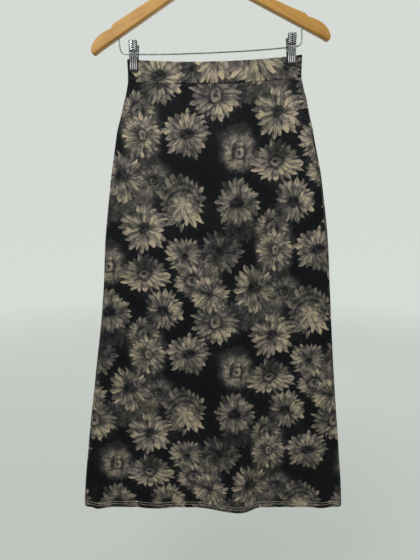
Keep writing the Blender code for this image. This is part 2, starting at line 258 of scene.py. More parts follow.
def petal_row(tree, radius, angle, seed, streaks, count, reach, spread):
    """(cover, tone) of one row of petals round the eye."""
    start = calc(tree, "MULTIPLY", seed, 7.3)
    turned = calc(tree, "MULTIPLY_ADD", angle, count / (2 * math.pi), start)
    petal = calc(tree, "ROUND", turned)
    leaning = calc(tree, "SUBTRACT", turned, petal)
    aside = calc(tree, "ABSOLUTE", leaning)
    number = calc(tree, "FLOORED_MODULO", petal, count)
    key = add_node(tree, "CombineXYZ", {"X": number, "Y": seed, "Z": float(count)}).outputs[0]
    chance = add_node(tree, "TexWhiteNoise", {"Vector": key}, noise_dimensions="3D")
    tip = fade(tree, chance.outputs["Value"], 0.0, 1.0, reach * (1 - spread), reach)
    along = calc(tree, "DIVIDE", radius, tip)
    half_width = calc(tree, "MULTIPLY", calc(tree, "POWER", fade(tree, along, 1.05, 0.72), 0.50), 0.60)
    depth = calc(tree, "SUBTRACT", half_width, aside)
    cover = fade(tree, depth, -0.10, 0.12)
    own = add_node(tree, "SeparateColor", {"Color": chance.outputs["Color"]}).outputs[1]
    tone = fade(tree, own, 0.0, 1.0, 0.68, 1.0)
    overlap = fade(tree, leaning, -0.5, 0.5, 0.86, 1.05)
    between = fade(tree, aside, 0.32, 0.50, 1.0, 0.70)
    from_eye = fade(tree, along, 0.15, 0.75, 0.78, 1.02)
    for shade in (overlap, between, from_eye, streaks):
        tone = calc(tree, "MULTIPLY", tone, shade)
    return cover, tone


def petal_streaks(tree, radius, angle, seed):
    """Fine lines that run along the petals."""
    around = calc(tree, "MULTIPLY", angle, 11.0)
    outwards = calc(tree, "MULTIPLY", radius, 1.3)
    start = calc(tree, "MULTIPLY", seed, 50.0)
    key = add_node(tree, "CombineXYZ", {"X": around, "Y": outwards, "Z": start})
    return fade(tree, noise(tree, key.outputs[0], 1.0, 2.0), 0.30, 0.68, 0.76, 1.10)


print("petal formulas ready")

# %% Eyes and hoods


def flower_eye(tree, radius, heart, ring, grain, cover, tone):
    """Puts in a dark disc, or a dark dot in a pale ring in a dark ring."""
    size = calc(tree, "MAXIMUM", ring, 0.01)
    step = calc(tree, "DIVIDE", radius, size)
    pale = calc(tree, "MULTIPLY", fade(tree, step, 0.20, 0.50), fade(tree, step, 1.0, 0.66))
    ringed = calc(tree, "MULTIPLY_ADD", pale, 0.34, calc(tree, "MULTIPLY", grain, 0.74))
    has_ring = calc(tree, "GREATER_THAN", ring, 0.0)
    in_ring = calc(tree, "MULTIPLY", fade(tree, step, 1.65, 0.90), has_ring)
    tone = mix_values(tree, in_ring, tone, ringed)
    heart = calc(tree, "MAXIMUM", heart, 0.01)
    outer, inner = calc(tree, "MULTIPLY", heart, 1.30), calc(tree, "MULTIPLY", heart, 0.86)
    in_heart = fade(tree, radius, outer, inner)
    tone = mix_values(tree, in_heart, tone, calc(tree, "MULTIPLY", grain, 0.64))
    return calc(tree, "MAXIMUM", cover, calc(tree, "MAXIMUM", in_ring, in_heart)), tone


def hooded_tone(tree, x, y, shift, streaks):
    """A full flower seen from the side: arcs of grey petals over a bright tuft."""
    below = calc(tree, "ADD", y, 0.26)
    away = calc(tree, "SQRT", calc(tree, "MULTIPLY_ADD", x, x, calc(tree, "MULTIPLY", below, below)))
    waves = calc(tree, "SINE", calc(tree, "MULTIPLY_ADD", shift, 6.0, calc(tree, "MULTIPLY", away, 31.0)))
    hood = calc(tree, "MULTIPLY", fade(tree, waves, -1.0, 1.0, 0.50, 0.72), streaks)
    tuft = calc(tree, "MULTIPLY", calc(tree, "MULTIPLY", streaks, streaks), 1.04)
    tone = mix_values(tree, fade(tree, away, 0.70, 0.28), hood, tuft)
    under = calc(tree, "ADD", y, 0.66)
    spot = calc(tree, "SQRT", calc(tree, "MULTIPLY_ADD", x, x, calc(tree, "MULTIPLY", under, under)))
    return mix_values(tree, fade(tree, spot, 0.17, 0.06), tone, 0.18)


print("eye formulas ready")

# %% The flower's node group
# each flower's seed is 309 steps past the last one's, of 500 that make one round
SEED_STRIDE = 309
SEED_STEPS = 500.0
# petals in the row, how far the longest reach, and how much shorter the shortest are
OUTER_PETALS = (21.0, 1.02, 0.16)
INNER_PETALS = (15.0, 0.78, 0.18)


def make_flower_group():
    tree = bpy.data.node_groups.new("printed_flower", "ShaderNodeTree")
    for name in ("Place", "Kind"):
        tree.interface.new_socket(name, in_out="INPUT", socket_type="NodeSocketVector")
    for name in ("Cover", "Tone"):
        tree.interface.new_socket(name, in_out="OUTPUT", socket_type="NodeSocketFloat")
    entry = tree.nodes.new("NodeGroupInput")
    place = add_node(tree, "SeparateXYZ", {"Vector": entry.outputs["Place"]})
    kind = add_node(tree, "SeparateXYZ", {"Vector": entry.outputs["Kind"]})
    x, y, light = place.outputs
    seed, heart, ring = kind.outputs
    # a hash needs the very same number in every pixel, and blending between corners wavers in
    # the last digit, so the seed is brought back to its own step
    seed = calc(tree, "DIVIDE", calc(tree, "ROUND", calc(tree, "MULTIPLY", seed, SEED_STEPS)), SEED_STEPS)

    # the cloth stretches in printing, so no flower is a true circle
    depth = calc(tree, "MULTIPLY", seed, 31.0)
    spot = add_node(tree, "CombineXYZ", {"X": x, "Y": y, "Z": depth}).outputs[0]
    shift = noise(tree, spot, 1.7, 2.0)
    bend = calc(tree, "MULTIPLY_ADD", shift, 0.40, -0.20)
    x = calc(tree, "ADD", x, bend)
    y = calc(tree, "SUBTRACT", y, bend)
    ripple = calc(tree, "MULTIPLY_ADD", noise(tree, spot, 5.0, 2.0), 0.12, -0.06)
    x = calc(tree, "SUBTRACT", x, ripple)
    y = calc(tree, "SUBTRACT", y, ripple)
    radius = calc(tree, "SQRT", calc(tree, "MULTIPLY_ADD", x, x, calc(tree, "MULTIPLY", y, y)))
    angle = calc(tree, "ARCTAN2", y, x)
    grain = noise(tree, spot, 8.0, 3.0, 0.6)
    patches = noise(tree, spot, 2.6, 3.0, 0.6)

    streaks = petal_streaks(tree, radius, angle, seed)
    cover, tone = petal_row(tree, radius, angle, seed, streaks, *OUTER_PETALS)
    second = calc(tree, "FRACT", calc(tree, "MULTIPLY_ADD", seed, 3.7, 0.31))
    inner_cover, inner_tone = petal_row(tree, radius, angle, second, streaks, *INNER_PETALS)
    tone = mix_values(tree, inner_cover, tone, inner_tone)
    cover = calc(tree, "MAXIMUM", cover, inner_cover)

    # a ring below zero marks a full flower that is seen from the side
    hooded = calc(tree, "LESS_THAN", ring, 0.0)
    inside = calc(tree, "MULTIPLY", hooded, fade(tree, radius, 0.94, 0.66))
    tone = mix_values(tree, inside, tone, hooded_tone(tree, x, y, shift, streaks))

    # a heart below zero marks a cloud: petals so far out of focus that no form is left
    cloud = calc(tree, "LESS_THAN", heart, 0.0)
    mottle = fade(tree, grain, 0.30, 0.70, 0.62, 1.0)
    tone = mix_values(tree, cloud, tone, calc(tree, "MULTIPLY", streaks, mottle))
    cover = mix_values(tree, cloud, cover, fade(tree, radius, 1.15, 0.45, 0.0, 0.94))
    cover, tone = flower_eye(tree, radius, heart, ring, grain, cover, tone)

    # petals fade in patches, and a soft shade of the flower spreads past them
    worn = fade(tree, patches, 0.32, 0.64, 0.58, 1.0)
    tone = calc(tree, "MULTIPLY", calc(tree, "MULTIPLY", tone, worn), light)
    halo = calc(tree, "MULTIPLY", fade(tree, radius, 1.30, 0.85), 0.36)
    smoke = calc(tree, "MULTIPLY", calc(tree, "MULTIPLY", worn, light), 0.50)
    tone = mix_values(tree, cover, calc(tree, "MULTIPLY", smoke, mottle), tone)
    cover = mix_values(tree, cloud, calc(tree, "MAXIMUM", cover, halo), cover)
    cover = calc(tree, "MULTIPLY", cover, fade(tree, radius, 1.34, 1.10))

    leave = tree.nodes.new("NodeGroupOutput")
    tree.links.new(cover, leave.inputs["Cover"])
    tree.links.new(tone, leave.inputs["Tone"])
    return tree


flower_group = make_flower_group()
print("flower group nodes:", len(flower_group.nodes))

# %% [markdown]
# ## The printed jersey
#
# Flowers lie over flowers in the print, so five layers are laid one on another over a smoky
# near-black ground. The result is one number, from black to cream, and a colour ramp turns it
# into ink: greys are a little cool, and the palest petals are a warm beige. Jersey is matt, with
# a slight bloom of light at a low angle, and its loops show as a fine bump. The loops follow the
# cloth's own measure, held in its UV map in metres, so they never slide over the folds.

# %% Jersey materials
LAYERS = ("lowest", "low", "middle", "high", "top")
LOOP_WIDTH = 0.0011
LOOP_HEIGHT = 0.0009
INK = (
    (0.00, (0.0022, 0.0027, 0.0035)),
    (0.20, (0.0048, 0.0056, 0.0066)),
    (0.40, (0.0270, 0.0272, 0.0262)),
    (0.60, (0.0840, 0.0765, 0.0655)),
    (0.80, (0.1700, 0.1480, 0.1140)),
    (1.00, (0.2900, 0.2420, 0.1640)),
)
MAUVE = (1.03, 0.98, 1.03)
STRAW = (1.01, 1.00, 0.93)


def knit_bump(tree, shader, cloth, strength):
    """Rows of small V-shaped loops."""
    place = add_node(tree, "SeparateXYZ", {"Vector": cloth})
    across = calc(tree, "MULTIPLY", place.outputs["X"], 2 * math.pi / LOOP_WIDTH)
    half = calc(tree, "SINE", calc(tree, "MULTIPLY", across, 0.5))
    slant = calc(tree, "MULTIPLY", calc(tree, "ABSOLUTE", half), 2.4)
    up = calc(tree, "MULTIPLY_ADD", place.outputs["Y"], 2 * math.pi / LOOP_HEIGHT, slant)
    loops = calc(tree, "MULTIPLY_ADD", calc(tree, "SINE", up), 0.5, calc(tree, "COSINE", across))
    add_bump(tree, shader, loops, 0.00012, strength)


def ink_hue(tree, cloth, ink):
    """The dyes take unevenly: some patches lean to mauve and some to straw."""
    patch = fade(tree, noise(tree, cloth, 15.0, 3.0), 0.36, 0.64)
    hue = mix_colours(tree, patch, (*MAUVE, 1), (*STRAW, 1))
    inputs = {"Factor": 1.0, 6: ink, 7: hue}
    return add_node(tree, "Mix", inputs, data_type="RGBA", blend_type="MULTIPLY").outputs[2]


def jersey_material(name, reverse):
    paint, tree, shader = start_material(name, 0.66)
    cloth = add_node(tree, "UVMap", uv_map="cloth").outputs["UV"]
    tone = fade(tree, noise(tree, cloth, 11.0, 4.0, 0.6), 0.38, 0.78, 0.03, 0.22)
    for layer in LAYERS:
        place = add_node(tree, "Attribute", attribute_name="bloom_" + layer).outputs["Vector"]
        kind = add_node(tree, "Attribute", attribute_name="kind_" + layer).outputs["Vector"]
        flower = add_node(tree, "Group", node_tree=flower_group)
        tree.links.new(place, flower.inputs["Place"])
        tree.links.new(kind, flower.inputs["Kind"])
        tone = mix_values(tree, flower.outputs["Cover"], tone, flower.outputs["Tone"])
    if reverse:
        tone = calc(tree, "MULTIPLY_ADD", tone, 0.30, 0.10)
    tree.links.new(ink_hue(tree, cloth, colour_ramp(tree, tone, INK)), shader.inputs["Base Color"])
    shader.inputs["Specular IOR Level"].default_value = 0.05
    shader.inputs["Sheen Weight"].default_value = 0.01
    shader.inputs["Sheen Roughness"].default_value = 0.5
    knit_bump(tree, shader, cloth, 0.35)
    return paint


jersey_face = jersey_material("printed_jersey_face", False)
jersey_back = jersey_material("printed_jersey_reverse", True)
print("jersey nodes:", len(jersey_face.node_tree.nodes))

# %% [markdown]
# ## Where the flowers lie
#
# Cloth is printed by a roller or a screen, so the print repeats. On this skirt each repeat is
# half a step below its neighbour, which a printer calls a half drop. One repeat holds eighteen
# flowers and, under them, five soft clouds of petals. Their places were judged from the
# photograph, in millimetres from the middle of the skirt and from the camera's height. A flower's
# eye is a dark disc, whose size is its heart, or a ring. A heart of -1 blurs the whole flower, and
# a ring below zero marks a full flower seen from the side. The front of the waistband shows its
# own few flowers, so they have a second list.
#
# For every face of the cloth the script looks for the flower that it lies in, and stores the
# place inside that flower at its corners. The face is small and a flower is large, so the
# flower stays sharp however coarse the mesh is.

# %% The chart of flowers
HALF_DROP = (0.259, -0.2185)
REPEAT_DOWN = 0.437
# layer, x and z of the centre in mm, half width, half height, heart, ring, tone,
# how much brighter it gets to the right and upwards
BLOOMS = (
    ("top", -44, 126, 47, 47, 0.24, 0.00, 1.04, 0.00, 0.05),
    ("high", 10, 197, 50, 46, 0.00, 0.28, 1.08, 0.14, -0.24),
    ("top", -130, -50, 51, 50, 0.22, 0.00, 1.14, 0.18, -0.14),
    ("middle", -168, 48, 47, 49, 0.24, 0.00, 1.10, 0.05, -0.05),
    ("high", -54, 1, 48, 56, 0.00, -0.35, 1.04, 0.05, -0.22),
    ("top", 52, -2, 46, 47, 0.24, 0.00, 1.00, 0.05, 0.05),
    ("middle", 163, 2, 43, 47, 0.20, 0.00, 0.98, 0.28, 0.10),
    ("high", 130, -93, 38, 41, 0.00, 0.22, 1.16, 0.05, 0.00),
    ("middle", 56, 92, 44, 48, -1, 0.26, 1.16, 0.05, 0.05),
    ("high", 128, 76, 52, 42, 0.00, 0.26, 1.02, 0.05, -0.34),
    ("low", 121, -48, 35, 35, 0.00, 0.34, 1.06, 0.00, 0.00),
    ("high", 21, -97, 46, 44, 0.14, 0.00, 0.76, -0.05, -0.20),
    ("middle", -50, -105, 38, 39, 0.14, 0.00, 1.06, 0.00, 0.00),
    ("top", 0, -183, 40, 39, 0.14, 0.00, 1.10, 0.00, -0.05),
    ("low", 54, 206, 36, 36, 0.20, 0.00, 0.66, 0.00, 0.00),
    ("low", -112, 42, 48, 46, -1, 0.16, 0.86, 0.00, 0.00),
    ("low", -37, -155, 37, 39, 0.00, 0.34, 1.04, 0.00, 0.00),
    ("middle", 60, -52, 34, 30, 0.14, 0.00, 0.56, 0.00, 0.00),
    ("lowest", 128, -84, 46, 74, -1, 0.00, 1.16, 0.00, 0.00),
    ("lowest", -152, -2, 54, 56, -1, 0.00, 0.86, 0.00, 0.00),
    ("lowest", 50, 108, 50, 56, -1, 0.00, 0.58, 0.00, 0.00),
    ("lowest", -18, -142, 50, 64, -1, 0.00, 1.10, 0.00, 0.00),
    ("lowest", 30, 206, 66, 34, -1, 0.00, 0.50, 0.00, 0.00),
)
# the front of the waistband was cut elsewhere, where these lay
BAND_BLOOMS = (
    ("top", -96, 230, 50, 52, 0.24, 0.00, 1.16, 0.16, 0.00),
    ("low", -34, 244, 34, 34, 0.16, 0.00, 0.78, 0.00, 0.00),
    ("middle", 8, 264, 42, 52, 0.20, 0.00, 1.26, 0.00, -0.20),
    ("high", 84, 270, 60, 66, 0.16, 0.00, 1.24, 0.12, -0.20),
    ("low", 142, 246, 32, 34, 0.20, 0.00, 0.80, 0.00, 0.00),
    ("lowest", 24, 240, 50, 34, -1, 0.00, 0.70, 0.00, 0.00),
    ("lowest", 110, 236, 46, 30, -1, 0.00, 0.80, 0.00, 0.00),
)
FAR_AWAY = (9.0, 9.0, 0.0)
FLOWER_REACH = 1.6
REPEATS_ACROSS = range(-3, 4)
REPEATS_DOWN = range(-5, 6)


def repeats():
    """Every shift of the chart that can fall on the skirt."""
    for across in REPEATS_ACROSS:
        for down in REPEATS_DOWN:
            yield HALF_DROP[0] * across, HALF_DROP[1] * across + REPEAT_DOWN * down


def print_attributes(mesh, s, t, blooms):
    """Stores each layer's nearest flower. s and t are the cloth's own measure at each point."""
    places = list(repeats()) if blooms is BLOOMS else [(0, 0)]
    corner = np.empty(len(mesh.loops), dtype=np.int32)
    mesh.loops.foreach_get("vertex_index", corner)
    s, t = s[corner], t[corner]
    mid_s, mid_t = s.reshape(-1, 4).mean(axis=1), t.reshape(-1, 4).mean(axis=1)
    for layer in LAYERS:
        best = np.full(len(mid_s), FLOWER_REACH)
        chosen = np.zeros((len(mid_s), 8))
        chosen[:, 2:4] = 1
        for number, row in enumerate(blooms):
            if row[0] != layer:
                continue
            x, z, wide, high = (value / 1000 for value in row[1:5])
            seed = number * SEED_STRIDE % SEED_STEPS / SEED_STEPS
            for shift_x, shift_z in places:
                here = (x + shift_x, z + shift_z)
                distance = np.hypot((mid_s - here[0]) / wide, (mid_t - here[1]) / high)
                nearer = distance < best
                best[nearer] = distance[nearer]
                chosen[nearer] = (*here, wide, high, seed, row[5], row[6], number)
        x, z, wide, high, seed, heart, ring, number = np.repeat(chosen, 4, axis=0).T
        u, v = (s - x) / wide, (t - z) / high
        looks = np.array([row[7:10] for row in blooms])[number.astype(int)]
        light = looks[:, 0] + looks[:, 1] * u + looks[:, 2] * v
        place = np.stack((u, v, light), axis=1)
        place[np.repeat(best, 4) >= FLOWER_REACH] = FAR_AWAY
        kind = np.stack((seed, heart, ring), axis=1)
        for name, values in (("bloom_", place), ("kind_", kind)):
            made = mesh.attributes.new(name + layer, "FLOAT_VECTOR", "CORNER")
            made.data.foreach_set("vector", values.ravel())


print("flowers in one repeat:", len(BLOOMS))

# %% [markdown]
# ## The form of the skirt
#
# The skirt hangs nearly flat. Seen from above it is a long slot with round ends, a little fuller
# in the middle, and it gets wider from the waist down. A short table gives that form at a few
# heights, and a smooth curve passes through its rows. A second table holds the large folds, from
# the hips down to the hem. These are the sizes that the solids were made from.

# %% Outline and large folds
GAP = 0.0003
WAIST_TOP_LEFT = -0.2342
WAIST_TOP_RIGHT = -0.2263
WAIST_SAG = 0.0088
BAND_HEIGHT = 0.039
HEM_Z = -1.165
HEM_DEPTH = 0.015
SEAM_FADE = 3.0
FOLD_WINDOW = 0.024
FOLD_START = 0.020
FOLD_END = 0.150
FOLD_GROWTH = 1.3

# height, left edge, right edge, half depth at the sides, crown in the middle, right seam's turn
OUTLINE = np.array((
    (-0.226, -0.1480, 0.1785, 0.0030, 0.0030, 0),
    (-0.272, -0.1473, 0.1778, 0.0030, 0.0030, 0),
    (-0.288, -0.1493, 0.1805, 0.0033, 0.0030, 0),
    (-0.314, -0.1563, 0.1887, 0.0042, 0.0030, 20),
    (-0.369, -0.1713, 0.2027, 0.0055, 0.0032, 55),
    (-0.452, -0.1863, 0.2227, 0.0070, 0.0036, 65),
    (-0.570, -0.2023, 0.2417, 0.0085, 0.0038, 68),
    (-0.693, -0.2133, 0.2537, 0.0095, 0.0036, 64),
    (-0.856, -0.2363, 0.2697, 0.0100, 0.0030, 30),
    (-1.032, -0.2613, 0.2897, 0.0105, 0.0025, 8),
    (-1.168, -0.2760, 0.3030, 0.0110, 0.0020, 0),
))

# side, x at the waist, x at the hem, top, bottom, reach left, reach right, depth at top, at bottom
FOLDS = (
    ("front", 0.080, 0.071, -0.280, -1.165, 0.100, 0.054, 0.0035, 0.0185),
    ("front", 0.102, 0.098, -0.276, -0.460, 0.020, 0.020, -0.0028, -0.0010),
    ("front", -0.200, -0.243, -0.850, -1.165, 0.034, 0.034, 0.0000, 0.0065),
    ("front", -0.090, -0.118, -0.780, -1.165, 0.040, 0.050, 0.0000, 0.0045),
    ("front", 0.190, 0.255, -0.700, -1.165, 0.040, 0.030, 0.0000, 0.0040),
    ("front", -0.080, -0.060, -0.300, -0.900, 0.060, 0.070, 0.0020, 0.0015),
    ("back", 0.120, 0.180, -0.300, -1.165, 0.060, 0.075, 0.0015, 0.0150),
    ("back", -0.020, 0.020, -0.420, -1.165, 0.055, 0.045, 0.0000, 0.0090),
    ("back", -0.110, -0.150, -0.290, -1.165, 0.070, 0.055, 0.0020, 0.0170),
)


def mix(a, b, share):
    return a + (b - a) * share


def smooth_step(low, high, value):
    share = np.clip((value - low) / (high - low), 0.0, 1.0)
    return share * share * (3 - 2 * share)


def curve_between(before, start, end, after, share):
    """One value of the smooth curve that passes through start and end."""
    return 0.5 * (
        2 * start
        + (end - before) * share
        + (2 * before - 5 * start + 4 * end - after) * share ** 2
        + (3 * start - before - 3 * end + after) * share ** 3
    )


def outline_at(z):
    """Left edge, right edge, half depth, crown and turn of the right seam, each a column."""
    last = len(OUTLINE) - 1
    row = np.clip(np.searchsorted(-OUTLINE[:, 0], -z) - 1, 0, last - 1)
    share = np.clip((z - OUTLINE[row, 0]) / (OUTLINE[row + 1, 0] - OUTLINE[row, 0]), 0, 1)
    around = [OUTLINE[np.clip(row + step, 0, last)] for step in (-1, 0, 1, 2)]
    return curve_between(*around, share[:, None])[:, 1:].T[:, :, None]


def waist_top(x):
    """The waistband's upper edge, which sags between the clips."""
    left, right = OUTLINE[0, 1], OUTLINE[0, 2]
    along = (x - left) / (right - left)
    return mix(WAIST_TOP_LEFT, WAIST_TOP_RIGHT, along) - WAIST_SAG * 4 * along * (1 - along)


def bell(distance, reach_left, reach_right):
    reach = np.where(distance < 0, reach_left, reach_right)
    return 0.5 + 0.5 * np.cos(np.pi * np.clip(distance / reach, -1, 1))


def fold_depth(side, x, z, left, right, half_depth):
    """How far the folds lift the cloth from its flat place, fading out towards the side seams."""
    inner = np.minimum(x - left - half_depth, right - half_depth - x)
    total = np.zeros(np.broadcast(x, z).shape)
    for place, x_waist, x_hem, top, bottom, reach_left, reach_right, first, final in FOLDS:
        if place != side:
            continue
        down = np.clip((z - top) / (bottom - top), 0.0, 1.0)
        centre = mix(x_waist, x_hem, (z - WAIST_TOP_LEFT) / (HEM_Z - WAIST_TOP_LEFT))
        faded = smooth_step(0, FOLD_START, top - z) * (1 - smooth_step(0, FOLD_END, bottom - z))
        depth = mix(first, final, down ** FOLD_GROWTH) * faded
        total = total + depth * bell(x - centre, reach_left, reach_right)
    return total * smooth_step(0.0, FOLD_WINDOW, inner)


print("outline rows:", len(OUTLINE), "large folds:", len(FOLDS))

# %% [markdown]
# ## Small creases and the hand of the cloth
#
# Large folds alone look like cast plaster. Real jersey also shows soft creases from folding and
# from the pull of the clips, tiny puckers where the elastic gathers it, a dip at each seam and a
# ridge between the two rows of hem stitching. They could be simulated, but a hanging tube that
# barely moves gives a simulation little to do. So they are listed as soft troughs and
# ridges, less than 2 mm deep, with a slow unevenness under them.

# %% Creases, puckers and seams
# side, x and z where it starts, x and z where it ends, half width, height (a trough is negative)
CREASES = (
    ("front", 0.0985, -0.276, 0.0960, -0.470, 0.0055, -0.0016),
    ("front", 0.1120, -0.280, 0.1160, -0.420, 0.0080, 0.0008),
    ("front", -0.1290, -0.272, -0.1180, -0.360, 0.0070, -0.0008),
    ("front", -0.1400, -0.275, -0.1430, -0.330, 0.0050, 0.0006),
    ("front", 0.1480, -0.270, 0.1360, -0.345, 0.0060, -0.0008),
    ("front", 0.0300, -0.300, 0.0160, -0.520, 0.0140, 0.0007),
    ("front", -0.0250, -0.520, -0.0450, -0.900, 0.0160, -0.0008),
    ("front", 0.1500, -0.560, 0.1780, -0.900, 0.0130, -0.0009),
    ("front", -0.1500, -0.620, -0.1760, -1.020, 0.0150, -0.0008),
    ("front", 0.0080, -0.760, -0.0080, -1.160, 0.0120, -0.0010),
    ("front", 0.1360, -0.820, 0.1560, -1.165, 0.0140, -0.0012),
    ("front", -0.1700, -0.980, -0.1820, -1.165, 0.0100, -0.0009),
    ("back", -0.0300, -0.276, -0.0180, -0.450, 0.0070, -0.0010),
    ("back", 0.1320, -0.272, 0.1240, -0.380, 0.0070, -0.0009),
    ("back", -0.1300, -0.274, -0.1220, -0.400, 0.0080, -0.0010),
    ("back", 0.0650, -0.420, 0.0800, -0.860, 0.0140, -0.0009),
    ("back", -0.0900, -0.640, -0.0800, -1.165, 0.0150, -0.0012),
    ("back", 0.2050, -0.760, 0.2300, -1.165, 0.0130, -0.0010),
    ("back", -0.2000, -0.700, -0.2250, -1.100, 0.0120, 0.0009),
)
SWELL = 0.00022
PUCKER = 0.00045
PUCKER_FADE = 0.020
SEAM_DIP = 0.0007
SEAM_REACH = 0.0014
STITCH_ROWS = (0.0142, 0.0086)
STITCH_DIP = 0.00022
TUNNEL = 0.00035


def crease_relief(side, x, z):
    total = np.zeros(x.shape)
    for place, x0, z0, x1, z1, half_width, height in CREASES:
        if place != side:
            continue
        run, drop = x1 - x0, z1 - z0
        along = ((x - x0) * run + (z - z0) * drop) / (run * run + drop * drop)
        nearest = np.clip(along, 0, 1)
        away = np.hypot(x - x0 - nearest * run, z - z0 - nearest * drop)
        ends = smooth_step(-0.06, 0.12, along) * (1 - smooth_step(0.55, 1.06, along))
        total += height * np.exp(-(away / half_width) ** 2) * ends
    return total


def slow_waves(seed, x, z, wide, tall, count=12):
    """A smooth unevenness of about -1 to 1, longer down the cloth than across it."""
    chance = random.Random(seed)
    total = np.zeros(np.broadcast(x, z).shape)
    for _ in range(count):
        across = 2 * math.pi / (wide * chance.uniform(0.6, 1.6)) * chance.choice((-1, 1))
        down = 2 * math.pi / (tall * chance.uniform(0.6, 1.6))
        total += np.sin(across * x + down * z + chance.uniform(0, 2 * math.pi))
    return total / math.sqrt(count)


def relief(side, x, z, below_band, above_hem):
    """How far small forms lift the cloth. Both distances are along the cloth, in metres."""
    seed = 5 if side == "front" else 11
    total = crease_relief(side, x, z)
    total += SWELL * slow_waves(seed, x, z, 0.075, 0.30)
    total += PUCKER * slow_waves(seed + 1, x, z, 0.011, 0.09) * np.exp(-below_band / PUCKER_FADE)
    total -= SEAM_DIP * np.exp(-(below_band / SEAM_REACH) ** 2)
    for height in STITCH_ROWS:
        total -= STITCH_DIP * np.exp(-((above_hem - height) / 0.0009) ** 2)
    middle = sum(STITCH_ROWS) / 2
    total += TUNNEL * np.exp(-((above_hem - middle) / 0.0022) ** 2)
    total += 0.0004 * slow_waves(seed + 2, x, z, 0.030, 0.20) * np.exp(-above_hem / 0.03)
    return total


print("small creases:", len(CREASES))

# %% [markdown]
# ## A sheet of cloth from a grid
#
# Each cut piece starts as a flat grid, as cloth does. Every column of the grid has its place
# across the skirt and every row its place along the cloth. A row may also lie inside the others,
# which is how a hem or a waistband is folded over: the sheet simply goes round the edge and back
# up. Solidify then gives the sheet the thickness of the knit, inwards, so the outside keeps its
# place.

# %% Columns and rows of a sheet
TURN_COLUMNS = 8
FLAT_COLUMNS = 140
TURN_CROWDING = 1.5
SLOPE_STEP = 0.001


def sheet_places(side, share, inset, rise, height_of, relief_of):
    """x, y and z for every row and column. Rows are given by share, inset and rise."""
    share, inset, rise = (np.asarray(row, dtype=float)[:, None] for row in (share, inset, rise))
    level = height_of(0.0, share)
    left, right, half, crown, turn = outline_at(level[:, 0])
    sign = -1 if side == "front" else 1
    trim = GAP / 2 / half
    seam_right = -sign * np.radians(turn) + trim
    middle, reach = (left + right) / 2, (right - left) / 2
    steps = (np.arange(TURN_COLUMNS) / TURN_COLUMNS)[None, :]

    def lift(x):
        across = (x - middle) / reach
        return half + crown * (1 - across ** 2) ** 2 + fold_depth(side, x, level, left, right, half)

    def turned(angle, seam, centre, outwards):
        """Round the side of the skirt, with a dip where the two panels are sewn together."""
        x = centre + outwards * half * np.cos(angle)
        dip = SEAM_DIP * np.exp(-((angle - seam) * half / SEAM_REACH) ** 2)
        radius = half - inset + relief_of(x, height_of(x, share)) * smooth_step(0, 1, angle) - dip
        return centre + outwards * radius * np.cos(angle), sign * radius * np.sin(angle)

    start = turned(mix(trim, np.pi / 2, steps ** TURN_CROWDING), trim, left + half, -1)
    x = mix(left + half, right - half, (np.arange(FLAT_COLUMNS + 1) / FLAT_COLUMNS)[None, :])
    slope = (lift(x + SLOPE_STEP) - lift(x - SLOPE_STEP)) / (2 * SLOPE_STEP)
    y = sign * (lift(x) + relief_of(x, height_of(x, share)) - inset * np.hypot(1, slope))
    finish = turned(mix(seam_right, np.pi / 2, steps ** TURN_CROWDING), seam_right, right - half, 1)
    x = np.hstack((start[0], x, finish[0][:, ::-1]))
    y = np.hstack((start[1], y, finish[1][:, ::-1]))
    return x, y, height_of(x, share) + rise


def arc_lengths(x, y):
    """Each row's own measure across the cloth, from the middle of the skirt."""
    steps = np.hypot(np.diff(x, axis=1), np.diff(y, axis=1))
    along = np.hstack((np.zeros((len(x), 1)), np.cumsum(steps, axis=1)))
    middle = [np.interp(CAMERA_PLACE[0], row_x, row_s) for row_x, row_s in zip(x, along)]
    return along - np.array(middle)[:, None]


print("columns in a sheet:", 2 * TURN_COLUMNS + FLAT_COLUMNS + 1)

# %% A sheet becomes a piece
PRINT_HEIGHT = 0.495


def grid_sheet(x, y, z, inside_out):
    """A grid whose points are moved to these places."""
    rows, columns = x.shape
    bm = bmesh.new()
    bmesh.ops.create_grid(bm, x_segments=columns - 1, y_segments=rows - 1, size=1)
    cell = []
    for vert in bm.verts:
        column = round((vert.co.x + 1) / 2 * (columns - 1))
        row = round((vert.co.y + 1) / 2 * (rows - 1))
        cell.append((row, column))
        vert.co = (x[row, column], y[row, column], z[row, column])
    if inside_out:
        bmesh.ops.reverse_faces(bm, faces=bm.faces)
    return bm, tuple(np.array(cell).T)


def finish_piece(name, bm, materials, slot, *nodes):
    """A smooth-shaded piece that rides on the one body and stands for these solids."""
    mesh = bpy.data.meshes.new(name)
    bm.to_mesh(mesh)
    bm.free()
    mesh.shade_smooth()
    for paint in materials:
        mesh.materials.append(paint)
    piece = bpy.data.objects.new(name, mesh)
    bpy.context.collection.objects.link(piece)
    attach(piece, "root")
    if nodes:
        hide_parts(*nodes)
    return piece


